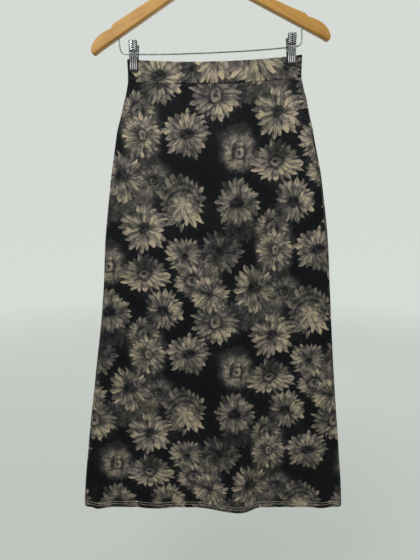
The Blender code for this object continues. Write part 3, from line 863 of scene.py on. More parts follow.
def cloth_piece(name, side, node, places, along, shift, thickness, blooms=BLOOMS):
    """One cut piece of jersey, with its print. along is each row's measure along the cloth."""
    x, y, z = places
    bm, cell = grid_sheet(x, y, z, side == "back")
    s, t = arc_lengths(x, y), np.broadcast_to(along, x.shape)
    piece = finish_piece(name, bm, (jersey_face, jersey_back), "printed_jersey", node)
    facing = 1 if side == "front" else -1
    point_s, point_t = facing * s[cell], t[cell]
    corner = np.empty(len(piece.data.loops), dtype=np.int32)
    piece.data.loops.foreach_get("vertex_index", corner)
    chart = piece.data.uv_layers.new(name="cloth")
    chart.data.foreach_set("uv", np.stack((point_s, point_t), axis=1)[corner].ravel())
    print_attributes(piece.data, point_s + shift[0], point_t + shift[1], blooms)
    wall = piece.modifiers.new("knit", "SOLIDIFY")
    wall.thickness = thickness
    wall.offset = -1
    wall.use_even_offset = True
    wall.material_offset = 1
    widths = s[:, -1] - s[:, 0]
    steps = np.abs(np.diff(t[:, FLAT_COLUMNS // 2]))
    area = float((steps * (widths[1:] + widths[:-1]) / 2).sum())
    flat = (float(widths.max()), float(steps.sum()))
    print(name, "faces", len(piece.data.polygons), "flat", flat, "area", area)
    return piece, flat, area


print("print's zero height is", -PRINT_HEIGHT, "m below the rail")

# %% [markdown]
# ## Front and back panels
#
# Each panel is one piece of cloth from the waistband down to the hem. At the bottom it turns
# under, round a fold of about a millimetre, and lies 15 mm up the inside. The grid has fine rows
# where something happens, at the band and at the hem, and coarse ones where the cloth just falls.

# %% The panels
HEM_FOLD = 0.0011
KNIT_THICKNESS = 0.0010
FINE_ROW = 0.0009
COARSE_ROW = 0.0046
FINE_STRETCH = 0.018
TOP_ROWS = (0.0, 0.0005, 0.0011, 0.0018, 0.0028, 0.0040, 0.0056, 0.0076, 0.0100, 0.0130)
ARC_STEPS = 6


def panel_top(x):
    return waist_top(x) - BAND_HEIGHT - GAP


def panel_height(x, share):
    """The panel's top follows the sagging waistband, and its rows level out towards the hem."""
    level = panel_top(0.0)
    return mix(level, HEM_Z, share) + (panel_top(x) - level) * (1 - share) ** SEAM_FADE


def panel_rows():
    """For each row from the turned-up edge round to the top: distance above the hem, inset, rise,
    and measure along the cloth."""
    length = panel_top(0.0) - HEM_Z
    inside = np.linspace(HEM_DEPTH, HEM_FOLD, 12)
    rows = [(up, 2 * HEM_FOLD, 0.0, -math.pi * HEM_FOLD - up + 2 * HEM_FOLD) for up in inside]
    for angle in np.linspace(0, math.pi, ARC_STEPS + 1)[1:-1]:
        around = HEM_FOLD - (math.pi - angle) * HEM_FOLD
        rows.append((HEM_FOLD, HEM_FOLD * (1 + math.cos(angle)), -HEM_FOLD * math.sin(angle), around))
    lower = np.arange(HEM_FOLD, FINE_STRETCH, FINE_ROW)
    upper = [length - down for down in TOP_ROWS[::-1]]
    count = round((upper[0] - lower[-1]) / COARSE_ROW)
    between = np.linspace(lower[-1], upper[0], count + 1)[1:-1]
    rows += [(up, 0.0, 0.0, up) for up in (*lower, *between, *upper)]
    above, inset, rise, along = np.array(rows).T
    return 1 - above / length, inset, rise, along + HEM_Z + PRINT_HEIGHT


def make_panel(side, shift):
    share, inset, rise, along = panel_rows()
    length = panel_top(0.0) - HEM_Z

    def relief_of(x, z):
        down = share[:, None] * length
        return relief(side, x, z, down, length - down) * (inset[:, None] < HEM_FOLD)

    places = sheet_places(side, share, inset, rise, panel_height, relief_of)
    outside = inset == 0
    along = np.where(outside[:, None], places[2] + PRINT_HEIGHT, along[:, None])
    name, node = "jersey_" + side, "skirt_" + side
    return cloth_piece(name, side, node, places, along, shift, KNIT_THICKNESS)


FRONT_SHIFT = (0.0, 0.0)
BACK_SHIFT = (0.130, 0.060)
panels = {"front": make_panel("front", FRONT_SHIFT), "back": make_panel("back", BACK_SHIFT)}

# %% [markdown]
# ## The waistband
#
# The waistband is a casing: a strip of the same cloth, folded in half over a wide elastic, with
# both edges sewn to the top of the skirt. Only the cloth shows. It is made like the hem, but the
# sheet goes up the outside, over the top in a round fold, and down the inside. Its print was cut
# from another part of the cloth, so the flowers don't run on from the skirt.

# %% The bands
BAND_WALL = 0.0026
CASING_THICKNESS = 0.0009
BAND_ROWS = 28
CASING_STEPS = 8
GATHER = 0.00022


def band_height(x, share):
    return waist_top(x) - share * BAND_HEIGHT


def band_rows():
    """From the lower edge outside, over the fold, to the lower edge inside."""
    fold = BAND_WALL / 2
    top = fold / BAND_HEIGHT
    outside = 1 - (1 - top) * np.linspace(0, 1, BAND_ROWS + 1) ** 0.85
    rows = [(share, 0.0, 0.0, -share * BAND_HEIGHT) for share in outside]
    for angle in np.linspace(0, math.pi, CASING_STEPS + 1)[1:-1]:
        rows.append((top, fold * (1 - math.cos(angle)), fold * math.sin(angle), fold * (angle - 1)))
    over = fold * (math.pi - 2)
    rows += [(share, BAND_WALL, 0.0, over + share * BAND_HEIGHT) for share in outside[::-1]]
    return np.array(rows).T


def make_band(side, shift, blooms):
    share, inset, rise, along = band_rows()
    seed = 21 if side == "front" else 27

    def relief_of(x, z):
        up = (1 - share[:, None]) * BAND_HEIGHT
        gathers = GATHER * slow_waves(seed, x, z, 0.010, 0.20)
        dip = SEAM_DIP * np.exp(-(up / SEAM_REACH) ** 2)
        dip = dip + STITCH_DIP * np.exp(-((up - BAND_STITCH) / 0.0009) ** 2)
        soft = SWELL * slow_waves(seed + 1, x, z, 0.060, 0.30)
        return (gathers + soft - dip) * (inset[:, None] < BAND_WALL / 2)

    places = sheet_places(side, share, inset, rise, band_height, relief_of)
    along = along[:, None] + waist_top(places[0]) + PRINT_HEIGHT
    name, node = "band_" + side, "waistband_" + side
    return cloth_piece(name, side, node, places, along, shift, CASING_THICKNESS, blooms)


BAND_STITCH = 0.0068
BACK_BAND_SHIFT = (0.170, -0.120)
bands = {
    "front": make_band("front", (0, 0), BAND_BLOOMS),
    "back": make_band("back", BACK_BAND_SHIFT, BLOOMS),
}

# %% [markdown]
# ## Stitching
#
# A twin-needle machine sews two rows of thread round the hem at once, and here the thread is tan,
# so it shows on the black cloth. A texture could draw it, but real stitches stand up and catch the
# light. Each stitch is a small long ball, and a row of them follows the cloth: the script asks for
# the cloth's own line at that height, walks along it, and sets one stitch at every step.

# %% Stitches along a line of the cloth
STITCH_PITCH = 0.0032
STITCH_SIZE = (0.0014, 0.00028, 0.00044)
STITCH_TILT = math.radians(5)
TAN_THREAD = (0.400, 0.350, 0.270)
DARK_THREAD = (0.018, 0.018, 0.019)


def thread_material(name, colour):
    paint, tree, shader = start_material(name, 0.6)
    place = add_node(tree, "TexCoord").outputs["Object"]
    worn = fade(tree, noise(tree, place, 60.0, 3.0), 0.3, 0.7)
    pale = [min(1.0, share * 1.35) for share in colour]
    tint = mix_colours(tree, worn, (*colour, 1), (*pale, 1))
    tree.links.new(tint, shader.inputs["Base Color"])
    add_bump(tree, shader, noise(tree, place, 2600.0, 1.0), 0.0002, 0.5)
    return paint


def stitch_row(bm, side, share, height_of, relief_of, chance, phase):
    """One row of stitches on the outside of the cloth, at one share of the piece's height."""
    x, y, z = (row[0] for row in sheet_places(side, [share], [0], [0], height_of, relief_of))
    line = np.stack((x, y, z), axis=1)
    along = np.concatenate(((0,), np.cumsum(np.linalg.norm(np.diff(line, axis=0), axis=1))))
    outwards = 1 if side == "front" else -1
    count = int((along[-1] - STITCH_PITCH) / STITCH_PITCH)
    for step in (np.arange(count) + 0.7 + phase) * STITCH_PITCH:
        here, ahead = (
            Vector([np.interp(step + ahead, along, line[:, axis]) for axis in range(3)])
            for ahead in (0, STITCH_SIZE[0])
        )
        tangent = (ahead - here).normalized()
        normal = Vector((tangent.y, -tangent.x, 0)).normalized() * outwards
        turn = Matrix((tangent, normal, tangent.cross(normal))).transposed().to_4x4()
        tilt = Matrix.Rotation(chance.uniform(-STITCH_TILT, STITCH_TILT), 4, "Y")
        scale = Matrix.Diagonal((*STITCH_SIZE, 1))
        place = Matrix.Translation(here + normal * STITCH_SIZE[1] * 0.45)
        matrix = place @ turn @ tilt @ scale
        bmesh.ops.create_icosphere(bm, subdivisions=1, radius=1, matrix=matrix)
    return count


def hem_stitches(side):
    bm, chance, length = bmesh.new(), random.Random(31), panel_top(0.0) - HEM_Z
    count = 0
    for row, height in enumerate(STITCH_ROWS):
        def relief_of(x, z, height=height):
            return relief(side, x, z, length - height, height)

        share = 1 - height / length
        count += stitch_row(bm, side, share, panel_height, relief_of, chance, 0.5 * row)
    print(side, "hem stitches:", count)
    return finish_piece("hem_stitching_" + side, bm, (tan_thread,), "printed_jersey")


def band_stitches(side):
    """The row that holds the elastic, just above the seam."""
    bm, chance = bmesh.new(), random.Random(37)
    share = 1 - BAND_STITCH / BAND_HEIGHT
    count = stitch_row(bm, side, share, band_height, lambda x, z: -STITCH_DIP, chance, 0)
    print(side, "band stitches:", count)
    return finish_piece("band_stitching_" + side, bm, (dark_thread,), "printed_jersey")


tan_thread = thread_material("tan_thread", TAN_THREAD)
dark_thread = thread_material("dark_thread", DARK_THREAD)
for cloth_side in ("front", "back"):
    hem_stitches(cloth_side)
    band_stitches(cloth_side)

# %% [markdown]
# ## The hanger leans
#
# The load on the hanger is a little uneven, so it leans about its hook until its right end is up.
# Wood and wire are made upright, where their shapes are simple, and every finished mesh is then
# turned by the same small angle about the hook.

# %% Leaning, and smooth lines
HANGER_AXIS = -0.004
LEAN = math.radians(3.19)
LEANING = Matrix.Rotation(-LEAN, 4, "Y")


def smooth_route(points, steps):
    """Places on one smooth curve through these points."""
    points = np.array(points, dtype=float)
    last = len(points) - 1
    route = []
    for i in range(last):
        around = [points[min(max(i + step, 0), last)] for step in (-1, 0, 1, 2)]
        route += [curve_between(*around, step / steps) for step in range(steps)]
    return [*route, points[last]]


print("the hanger leans by", round(math.degrees(LEAN), 2), "degrees")

# %% [markdown]
# ## Varnished wood
#
# Each arm is sawn from a board, so its grain runs along it. Wood is made of thin layers, lighter
# and darker. Cut lengthways they show as long streaks, which a noise gives when it is stretched
# along the arm. Clear varnish lies over it: the shader has a coat for that, smoother than the wood
# under it. The streaks turn with the arm, so each side has its own material.

# %% Wood materials
WOOD_PALE = (0.340, 0.185, 0.046)
WOOD_DARK = (0.215, 0.098, 0.018)


def mix_stop(first, second, share):
    return tuple(mix(a, b, share) for a, b in zip(first, second))


def wood_material(name, slope):
    paint, tree, shader = start_material(name, 0.42)
    place = add_node(tree, "TexCoord").outputs["Object"]
    board = add_node(tree, "Mapping", {"Vector": place, "Rotation": (0, slope, 0)}).outputs[0]
    bands = add_node(tree, "Mapping", {"Vector": board, "Scale": (5.0, 30.0, 260.0)}).outputs[0]
    fibres = add_node(tree, "Mapping", {"Vector": board, "Scale": (18.0, 300.0, 1500.0)}).outputs[0]
    patch = noise(tree, board, 26.0, 2.0)
    layer = noise(tree, bands, 1.0, 2.0, 0.4)
    fibre = noise(tree, fibres, 1.0, 1.0)
    tone = calc(tree, "MULTIPLY_ADD", layer, 0.60, calc(tree, "MULTIPLY", fibre, 0.10))
    tone = calc(tree, "MULTIPLY_ADD", patch, 0.45, tone)
    stops = ((0.34, WOOD_DARK), (0.52, mix_stop(WOOD_DARK, WOOD_PALE, 0.60)), (0.76, WOOD_PALE))
    tree.links.new(colour_ramp(tree, tone, stops), shader.inputs["Base Color"])
    shader.inputs["Specular IOR Level"].default_value = 0.15
    shader.inputs["Coat Weight"].default_value = 0.08
    shader.inputs["Coat Roughness"].default_value = 0.25
    add_bump(tree, shader, fibre, 0.0002, 0.15)
    return paint


wood = {
    "left": wood_material("varnished_wood_left", math.radians(26)),
    "right": wood_material("varnished_wood_right", math.radians(-32)),
}
print("wood materials:", [paint.name for paint in wood.values()])

# %% [markdown]
# ## The wooden arms
#
# An arm is a flat board with a gently curved upper edge, a small step that stops a strap from
# sliding off, and a round nose. A spindle cutter rounds its rims. So the board starts as one flat
# face with that outline, is pushed to its thickness, and its rims are bevelled in five small
# steps. A narrow border inside each broad face keeps that face flat in the light.

# %% The arms
WOOD_HALF = 0.0075
WOOD_ROUND = 0.0030
BORDER = 0.0007
ARM_TOPS = {
    "left": ((0, -0.0620), (0.011, -0.0635), (0.022, -0.0745), (0.042, -0.0930),
             (0.070, -0.1115), (0.108, -0.1315), (0.142, -0.1490), (0.1765, -0.1668)),
    "right": ((0, -0.0620), (0.011, -0.0635), (0.022, -0.0760), (0.042, -0.0965),
              (0.070, -0.1165), (0.108, -0.1365), (0.142, -0.1530), (0.1750, -0.1680)),
}
ARM_NOSE = ((0.1800, -0.1735), (0.1870, -0.1755), (0.2000, -0.1818), (0.2100, -0.1895),
            (0.2168, -0.1985), (0.2198, -0.2065), (0.2195, -0.2122), (0.2162, -0.2155),
            (0.2115, -0.2142))
UNDERSIDE_APEX = -0.0965
UNDERSIDE_SLOPE = 0.553


def arm_outline(name):
    """Out from the axis, and height: along the top, round the nose and back underneath."""
    below = [(out, UNDERSIDE_APEX - UNDERSIDE_SLOPE * out) for out in (0.204, 0.14, 0.07, 0)]
    return [*smooth_route(ARM_TOPS[name], 3), *smooth_route(ARM_NOSE, 3), *below]


def make_arm(name, sign):
    bm = bmesh.new()
    corners = [
        bm.verts.new((HANGER_AXIS + sign * max(out, GAP / 2), -WOOD_HALF, height))
        for out, height in arm_outline(name)
    ]
    grown = bmesh.ops.extrude_face_region(bm, geom=[bm.faces.new(corners)])["geom"]
    moved = [item for item in grown if isinstance(item, bmesh.types.BMVert)]
    bmesh.ops.translate(bm, vec=(0, 2 * WOOD_HALF, 0), verts=moved)
    bmesh.ops.recalc_face_normals(bm, faces=bm.faces)
    rim = [
        edge for edge in bm.edges
        if abs(edge.verts[0].co.y - edge.verts[1].co.y) < GAP
        and max(abs(vert.co.x - HANGER_AXIS) for vert in edge.verts) > GAP
    ]
    bmesh.ops.bevel(
        bm, geom=rim, offset=WOOD_ROUND, segments=5, profile=0.5, affect="EDGES", material=-1
    )
    broad = [face for face in bm.faces if abs(face.normal.y) > 0.99]
    bmesh.ops.inset_region(bm, faces=broad, thickness=BORDER, use_even_offset=True)
    bmesh.ops.transform(bm, matrix=LEANING, verts=bm.verts)
    arm = finish_piece("hanger_arm_" + name, bm, (wood[name],), "hanger_wood", "arm_" + name)
    print(arm.name, "faces:", len(arm.data.polygons))


make_arm("left", -1)
make_arm("right", 1)

# %% [markdown]
# ## Bright steel wire
#
# The hook and the bar are drawn steel wire, bent cold and plated. A curve with a round bevel would
# do, but here a ring of points is pushed along the route, step by step, and turned to face each
# new direction. The same few lines then also wind the small springs. Every end closes in a dome, as
# a cut and tumbled wire has. The plating is a metal with faint lengthways drawing marks.

# %% Steel materials
BRIGHT_STEEL = (0.230, 0.245, 0.235)
DULL_STEEL = (0.125, 0.135, 0.130)


def steel_material(name, dull, bright, roughness):
    paint, tree, shader = start_material(name, roughness, 1.0)
    place = add_node(tree, "TexCoord").outputs["Object"]
    cloud = fade(tree, noise(tree, place, 70.0, 4.0, 0.6), 0.34, 0.66)
    tint = mix_colours(tree, cloud, (*dull, 1), (*bright, 1))
    tree.links.new(tint, shader.inputs["Base Color"])
    rubbed = fade(tree, noise(tree, place, 260.0, 3.0), 0.3, 0.7, roughness * 0.9, roughness * 1.2)
    tree.links.new(rubbed, shader.inputs["Roughness"])
    add_bump(tree, shader, noise(tree, place, 1400.0, 2.0), 0.0001, 0.12)
    return paint


bright_steel = steel_material("bright_steel", DULL_STEEL, BRIGHT_STEEL, 0.30)
print("steel:", bright_steel.name)

# %% A wire along a route
WIRE_SIDES = 16
DOME_STEPS = 4


def wire_stations(points, radius):
    """(place, direction, radius) of every ring: a dome at each end, and one at each point."""
    points = [Vector(point) for point in points]
    runs = [(b - a).normalized() for a, b in zip(points, points[1:])]
    headings = [runs[0], *((a + b).normalized() for a, b in zip(runs, runs[1:])), runs[-1]]
    angles = [math.radians(80 - 80 * step / DOME_STEPS) for step in range(DOME_STEPS)]
    dome = [(radius * math.sin(angle), radius * math.cos(angle)) for angle in angles]
    first = [(points[0] - runs[0] * out, runs[0], small) for out, small in dome]
    body = [(point, heading, radius) for point, heading in zip(points, headings)]
    final = [(points[-1] + runs[-1] * out, runs[-1], small) for out, small in dome[::-1]]
    return first + body + final


def add_wire(bm, points, radius, sides=WIRE_SIDES):
    """A round wire is one ring, extruded and turned from station to station."""
    stations = wire_stations(points, radius)
    turn = Vector((0, 0, 1)).rotation_difference(stations[0][1]).to_matrix().to_4x4()
    placed = Matrix.Translation(stations[0][0]) @ turn @ Matrix.Scale(stations[0][2], 4)
    ring = bmesh.ops.create_circle(bm, cap_ends=True, segments=sides, radius=1, matrix=placed)
    edges = list({edge for vert in ring["verts"] for edge in vert.link_edges})
    heading = stations[0][1]
    for place, ahead, size in stations[1:]:
        turn = heading.rotation_difference(ahead).to_matrix().to_4x4() @ turn
        heading = ahead
        target = Matrix.Translation(place) @ turn @ Matrix.Scale(size, 4)
        grown = bmesh.ops.extrude_edge_only(bm, edges=edges)["geom"]
        moved = [item for item in grown if isinstance(item, bmesh.types.BMVert)]
        edges = [item for item in grown if isinstance(item, bmesh.types.BMEdge)]
        bmesh.ops.transform(bm, matrix=target @ placed.inverted(), verts=moved)
        placed = target
    bmesh.ops.edgeloop_fill(bm, edges=edges)


print("sides of a wire:", WIRE_SIDES)

# %% The hook, its collar and the bar
HOOK_R = 0.0018
HOOK_BOW = 0.0218
HOOK_STEM = ((-0.0040, -0.0550), (-0.0015, -0.0485), (0.0050, -0.0428))
HOOK_ANGLES = range(-48, 206, 23)
NECK_TOP = -0.062
BAR_R = 0.0013
BAR_ROUTE = (
    (-0.1675, -0.1810), (-0.1675, -0.1900), (-0.1675, -0.2000), (-0.1670, -0.2080),
    (-0.1650, -0.2130), (-0.1610, -0.2160), (-0.1550, -0.2172), (-0.1410, -0.2181),
    (-0.0800, -0.2212), (0.0000, -0.2232), (0.0800, -0.2236), (0.1410, -0.2222),
    (0.1560, -0.2215), (0.1620, -0.2203), (0.1660, -0.2172), (0.1680, -0.2120),
    (0.1684, -0.2040), (0.1684, -0.1930), (0.1684, -0.1810),
)
COLLAR_R = 0.0065
COLLAR_HEIGHT = 0.0040
COLLAR_STEPS = 48
# out and up on a quarter of an arc: the collar's rounded shoulder
COLLAR_PROFILE = ((0.32, 0.0), (0.94, 0.0), (1.0, 0.08), (1.0, 0.45), (0.97, 0.60), (0.88, 0.75),
                  (0.76, 0.88), (0.62, 0.97), (0.50, 1.0), (0.32, 1.0))


def hook_route():
    centre = HOOK_R - HOOK_BOW
    angles = [math.radians(degrees) for degrees in HOOK_ANGLES]
    bow = [(HOOK_BOW * math.cos(a), centre + HOOK_BOW * math.sin(a)) for a in angles]
    return smooth_route([(HANGER_AXIS, NECK_TOP + GAP), *HOOK_STEM, *bow], 5)


def make_wire(name, route, radius, node):
    bm = bmesh.new()
    add_wire(bm, [(x, 0, z) for x, z in route], radius)
    bmesh.ops.recalc_face_normals(bm, faces=bm.faces)
    bmesh.ops.transform(bm, matrix=LEANING, verts=bm.verts)
    wire = finish_piece(name, bm, (bright_steel,), "bright_steel", node)
    print(name, "faces:", len(wire.data.polygons))


def make_collar():
    """A small turned cap that covers the hole where the hook enters the wood."""
    bm = bmesh.new()
    ring = [
        bm.verts.new((out * COLLAR_R, 0, NECK_TOP + GAP + up * COLLAR_HEIGHT))
        for out, up in COLLAR_PROFILE
    ]
    edges = [bm.edges.new((ring[i - 1], ring[i])) for i in range(len(ring))]
    bmesh.ops.spin(
        bm, geom=ring + edges, cent=(0, 0, 0), axis=(0, 0, 1), angle=2 * math.pi,
        steps=COLLAR_STEPS, use_merge=True,
    )
    bmesh.ops.remove_doubles(bm, verts=bm.verts, dist=1e-6)
    bmesh.ops.recalc_face_normals(bm, faces=bm.faces)
    bmesh.ops.translate(bm, vec=(HANGER_AXIS, 0, 0), verts=bm.verts)
    bmesh.ops.transform(bm, matrix=LEANING, verts=bm.verts)
    collar = finish_piece("collar", bm, (bright_steel,), "bright_steel", "hook_collar")
    print("collar faces:", len(collar.data.polygons))


bar_route = smooth_route([(HANGER_AXIS + out, height) for out, height in BAR_ROUTE], 5)
make_wire("wire_hook", hook_route(), HOOK_R, "hook")
make_wire("wire_bar", bar_route, BAR_R, "clip_bar")
make_collar()

# %% [markdown]
# ## The clips
#
# A clip is two plates stamped from sheet steel and plated. The stamp gives the thumb end a tread of
# short ribs in two columns, and stiffens the rest with four long ridges. The sides are folded back.
# Such a plate could be cut and bevelled rib by rib, but the stamp suggests another way: a fine flat
# grid, pressed by a formula. The formula's height is also stored on the mesh, so that the material
# can make the low parts rough and the raised tops smooth, and paint shade into the low parts: their
# colour is near black, while the raised ribs and ridges keep the pale colour of the plated steel.

# %% Clip steel
# painted shade: the colour of the low parts of the stamp, far darker than the plated steel itself
SHADED_GROOVE_STEEL = (0.035, 0.036, 0.037)
TOP_STEEL = (0.470, 0.480, 0.480)


def clip_material():
    paint, tree, shader = start_material("clip_steel", 0.26, 1.0)
    place = add_node(tree, "TexCoord").outputs["Object"]
    raised = add_node(tree, "Attribute", attribute_name="raised").outputs["Fac"]
    speckle = noise(tree, place, 900.0, 3.0, 0.6)
    cloud = noise(tree, place, 110.0, 3.0)
    height = calc(tree, "MULTIPLY_ADD", speckle, 0.30, calc(tree, "SUBTRACT", raised, 0.15))
    # painted shade: wherever the stamp leaves the sheet low, its colour goes to near black; only raised
    # ribs, ridges and the lip keep the pale steel
    unshaded_share = fade(tree, height, 0.05, 0.85)
    tint = mix_colours(tree, unshaded_share, (*SHADED_GROOVE_STEEL, 1), (*TOP_STEEL, 1))
    worn = fade(tree, cloud, 0.35, 0.65, 0.72, 1.0)
    shade = add_node(tree, "CombineColor", {"Red": worn, "Green": worn, "Blue": worn}).outputs[0]
    inputs = {"Factor": 1.0, 6: tint, 7: shade}
    shaded = add_node(tree, "Mix", inputs, data_type="RGBA", blend_type="MULTIPLY").outputs[2]
    tree.links.new(shaded, shader.inputs["Base Color"])
    tree.links.new(fade(tree, height, 0.1, 0.9, 0.48, 0.30), shader.inputs["Roughness"])
    add_bump(tree, shader, speckle, 0.0001, 0.20)
    return paint


clip_steel = clip_material()
print("clip steel:", clip_steel.name)

# %% Stamped plates
CLIP_SIDES = {"front": -1, "back": 1}
CLIP_HALF_WIDTH = 0.0078
CLIP_SHEET = 0.0012
PLATE_WALL = 0.0008
PLATE_TOP = 0.0205
PLATE_BOTTOM = -0.0290
PLATE_CORNER = 0.0022
PLATE_COLUMNS = 46
PLATE_ROWS = 104
FLANGE_START = 0.0068
FLANGE_DEPTH = 0.0016
TREAD_START = 0.0035
TREAD_PITCH = 0.0031
TREAD_HEIGHT = 0.00055
RIDGE_TOP = 0.0005
RIDGE_PLACES = (-0.0054, -0.0018, 0.0018, 0.0054)
RIDGE_HALF = 0.0011
# height from the bar, distance of the plate's inner face from the middle
CLIP_HEIGHTS = (-0.0290, -0.0160, -0.0110, -0.0050, 0.0050, 0.0130, 0.0205)
CLIP_DEPTHS = (0.0057, 0.0057, 0.0066, 0.0080, 0.0095, 0.0112, 0.0128)


def stamped(x, height):
    """How far the stamp lifts the sheet here, as a share of a full rib or ridge."""
    beside = abs(x)
    row = (height - TREAD_START + 0.35 * beside) / TREAD_PITCH
    rib = float(smooth_step(0.15, 0.75, 0.5 + 0.5 * math.cos(2 * math.pi * row)))
    column = float(smooth_step(0.0006, 0.0014, beside) * (1 - smooth_step(0.0060, 0.0067, beside)))
    inside = float(smooth_step(TREAD_START - 0.001, TREAD_START + 0.0004, height))
    inside *= float(1 - smooth_step(PLATE_TOP - 0.0016, PLATE_TOP - 0.0008, height))
    tread = rib * column * inside
    nearest = min(abs(x - place) for place in RIDGE_PLACES)
    ridge = float(1 - smooth_step(0.0003, RIDGE_HALF, nearest))
    ridge *= float(1 - smooth_step(RIDGE_TOP - 0.0012, RIDGE_TOP + 0.0006, height))
    ridge *= float(smooth_step(PLATE_BOTTOM + 0.0004, PLATE_BOTTOM + 0.0018, height))
    dots = max(0.0, 1 - math.hypot(nearest, height - 0.5 * (RIDGE_TOP + TREAD_START)) / 0.0009)
    return max(tread, ridge, 0.8 * float(smooth_step(0, 1, dots)))


def plate_half_width(height):
    """The half width, narrower at the rounded top corners."""
    over = max(0.0, height - (PLATE_TOP - PLATE_CORNER))
    return CLIP_HALF_WIDTH - PLATE_CORNER + math.sqrt(max(0.0, PLATE_CORNER ** 2 - over ** 2))


def clip_holder(name, lean):
    """Where a clip hangs: its spring sits round the bar."""
    low, high = (Vector(corner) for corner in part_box("clip_spring_" + name))
    return Matrix.Translation((low + high) / 2) @ Matrix.Rotation(-lean, 4, "Y")


def stamp_plate(bm, sign):
    """Presses a flat grid into a plate, and returns how raised each of its points is."""
    bmesh.ops.create_grid(bm, x_segments=PLATE_COLUMNS, y_segments=PLATE_ROWS, size=1)
    raised = bm.verts.layers.float.new("raised")
    for vert in bm.verts:
        across, up = vert.co.x, (vert.co.y + 1) / 2
        height = mix(PLATE_BOTTOM, PLATE_TOP, up)
        x = across * plate_half_width(height)
        lift = stamped(x, height)
        flange = float(smooth_step(FLANGE_START, CLIP_HALF_WIDTH, abs(x)))
        lip = float(smooth_step(PLATE_TOP - 0.0010, PLATE_TOP, height))
        depth = float(np.interp(height, CLIP_HEIGHTS, CLIP_DEPTHS)) + CLIP_SHEET
        depth += TREAD_HEIGHT * (lift - 1) - FLANGE_DEPTH * flange - 0.0007 * lip
        vert[raised] = max(lift, 0.35 * lip)
        vert.co = (x, sign * depth, height)
    if sign > 0:
        bmesh.ops.reverse_faces(bm, faces=bm.faces)


print("plate grid:", PLATE_COLUMNS, "by", PLATE_ROWS)

# %% Ears round the bar
EAR_PLACES = {"front": 0.0068, "back": 0.0054}
EAR_WALL = 0.0009
EAR_R = 0.0046
EAR_HOLE = 0.0016
EAR_SIDES = 28


def add_ear(bm, sign, x):
    """A lug with a hole for the bar. Its near side is pulled out to meet the plate."""
    turn = Matrix.Translation((x, 0, 0)) @ Matrix.Rotation(math.pi / 2, 4, "Y")
    rims = []
    for radius in (EAR_HOLE, EAR_R):
        made = bmesh.ops.create_circle(bm, segments=EAR_SIDES, radius=radius, matrix=turn)
        rims.append(made["verts"])
    for vert in rims[1]:
        if sign * vert.co.y > 0.45 * EAR_R:
            vert.co.y = sign * float(np.interp(vert.co.z, CLIP_HEIGHTS, CLIP_DEPTHS))
        else:
            vert.co.y *= 0.72
    edges = list({edge for rim in rims for vert in rim for edge in vert.link_edges})
    faces = bmesh.ops.bridge_loops(bm, edges=edges)["faces"]
    grown = bmesh.ops.extrude_face_region(bm, geom=faces)["geom"]
    moved = [item for item in grown if isinstance(item, bmesh.types.BMVert)]
    bmesh.ops.translate(bm, vec=(-math.copysign(EAR_WALL, x), 0, 0), verts=moved)


def make_plate(name, side, matrix):
    sign = CLIP_SIDES[side]
    bm = bmesh.new()
    stamp_plate(bm, sign)
    bmesh.ops.transform(bm, matrix=matrix, verts=bm.verts)
    label = f"clip_plate_{side}_{name}"
    plate = finish_piece(label, bm, (clip_steel,), "clip_steel", f"clip_{side}_{name}")
    wall = plate.modifiers.new("sheet_metal", "SOLIDIFY")
    wall.thickness = PLATE_WALL
    wall.offset = -1
    ears = bmesh.new()
    for x in (-EAR_PLACES[side], EAR_PLACES[side]):
        add_ear(ears, sign, x)
    bmesh.ops.recalc_face_normals(ears, faces=ears.faces)
    bmesh.ops.transform(ears, matrix=matrix, verts=ears.verts)
    lugs = finish_piece(f"clip_ears_{side}_{name}", ears, (bright_steel,), "clip_steel")
    lugs.data.set_sharp_from_angle(angle=math.radians(35))
    print(label, "faces:", len(plate.data.polygons))


print("ears of a front plate at", EAR_PLACES["front"], "m from the middle")

# %% [markdown]
# ## Springs and jaw pads
#
# A small coil spring sits round the bar between the ears, and its two legs push the thumb ends
# apart, which shuts the jaws. The jaws have black rubber pads, ribbed so that they hold the cloth.
# The spring's route is a helix with a straight leg at each end, and the pad is a ribbed outline
# pushed across the clip's width.

# %% Spring and pads
SPRING_WIRE = 0.00045
COIL_R = 0.0027
COIL_HALF = 0.0034
COIL_TURNS = 5
COIL_POINTS = 20
LEG_ANGLE = math.radians(31.8)
LEG_END = (0.0101, 0.0108)
PAD_HALF_WIDTH = 0.0070
PAD_OUTER = 0.0058
PAD_INNER = 0.0041
PAD_TOP = -0.0165
PAD_BOTTOM = -0.0313
PAD_RIBS = 8
PAD_RIB = 0.0005
PAD_ROUND = 0.0003


def spring_route():
    first, final = math.pi + LEG_ANGLE, 2 * math.pi * (COIL_TURNS + 1) - LEG_ANGLE
    route = [(-COIL_HALF, -LEG_END[0], LEG_END[1])]
    count = round((final - first) / (2 * math.pi) * COIL_POINTS)
    for step in range(count + 1):
        angle = mix(first, final, step / count)
        x = mix(-COIL_HALF, COIL_HALF, step / count)
        route.append((x, COIL_R * math.cos(angle), COIL_R * math.sin(angle)))
    route.append((COIL_HALF, LEG_END[0], LEG_END[1]))
    return route


def make_spring(name, matrix):
    bm = bmesh.new()
    add_wire(bm, spring_route(), SPRING_WIRE, 10)
    bmesh.ops.recalc_face_normals(bm, faces=bm.faces)
    bmesh.ops.transform(bm, matrix=matrix, verts=bm.verts)
    finish_piece("coil_spring_" + name, bm, (bright_steel,), "clip_steel", "clip_spring_" + name)


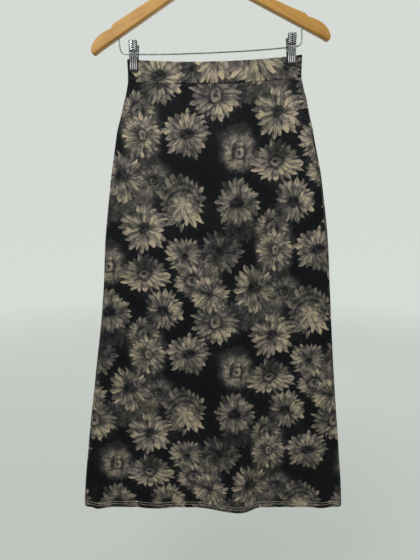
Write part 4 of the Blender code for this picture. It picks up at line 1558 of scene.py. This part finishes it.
def rubber_material():
    paint, tree, shader = start_material("black_rubber", 0.62)
    place = add_node(tree, "TexCoord").outputs["Object"]
    dust = fade(tree, noise(tree, place, 420.0, 4.0, 0.6), 0.45, 0.80)
    tint = mix_colours(tree, dust, (0.008, 0.008, 0.009, 1), (0.030, 0.030, 0.031, 1))
    tree.links.new(tint, shader.inputs["Base Color"])
    shader.inputs["Specular IOR Level"].default_value = 0.35
    add_bump(tree, shader, noise(tree, place, 3000.0, 2.0), 0.0001, 0.25)
    return paint


def make_pad(name, side, matrix):
    """The ribbed outline is drawn at one side of the clip and pushed across to the other."""
    sign = CLIP_SIDES[side]
    heights = np.linspace(PAD_TOP, PAD_BOTTOM, 2 * PAD_RIBS + 1)
    inner = [(PAD_INNER - PAD_RIB * (i % 2), height) for i, height in enumerate(heights)]
    outline = [(PAD_OUTER, PAD_TOP), *inner, (PAD_OUTER, PAD_BOTTOM)]
    bm = bmesh.new()
    corners = [bm.verts.new((-PAD_HALF_WIDTH, sign * y, height)) for y, height in outline]
    grown = bmesh.ops.extrude_face_region(bm, geom=[bm.faces.new(corners)])["geom"]
    moved = [item for item in grown if isinstance(item, bmesh.types.BMVert)]
    bmesh.ops.translate(bm, vec=(2 * PAD_HALF_WIDTH, 0, 0), verts=moved)
    bmesh.ops.recalc_face_normals(bm, faces=bm.faces)
    bmesh.ops.bevel(
        bm, geom=bm.edges[:], offset=PAD_ROUND, segments=2, profile=0.5, affect="EDGES", material=-1
    )
    bmesh.ops.transform(bm, matrix=matrix, verts=bm.verts)
    finish_piece(f"jaw_pad_{side}_{name}", bm, (rubber,), "black_rubber", f"pad_{side}_{name}")


rubber = rubber_material()
CLIPS = (("left", math.radians(-1.9)), ("right", math.radians(2.0)))
for clip_name, clip_lean in CLIPS:
    holder = clip_holder(clip_name, clip_lean)
    for plate_side in CLIP_SIDES:
        make_plate(clip_name, plate_side, holder)
        make_pad(clip_name, plate_side, holder)
    make_spring(clip_name, holder)
print("clips:", [row[0] for row in CLIPS])
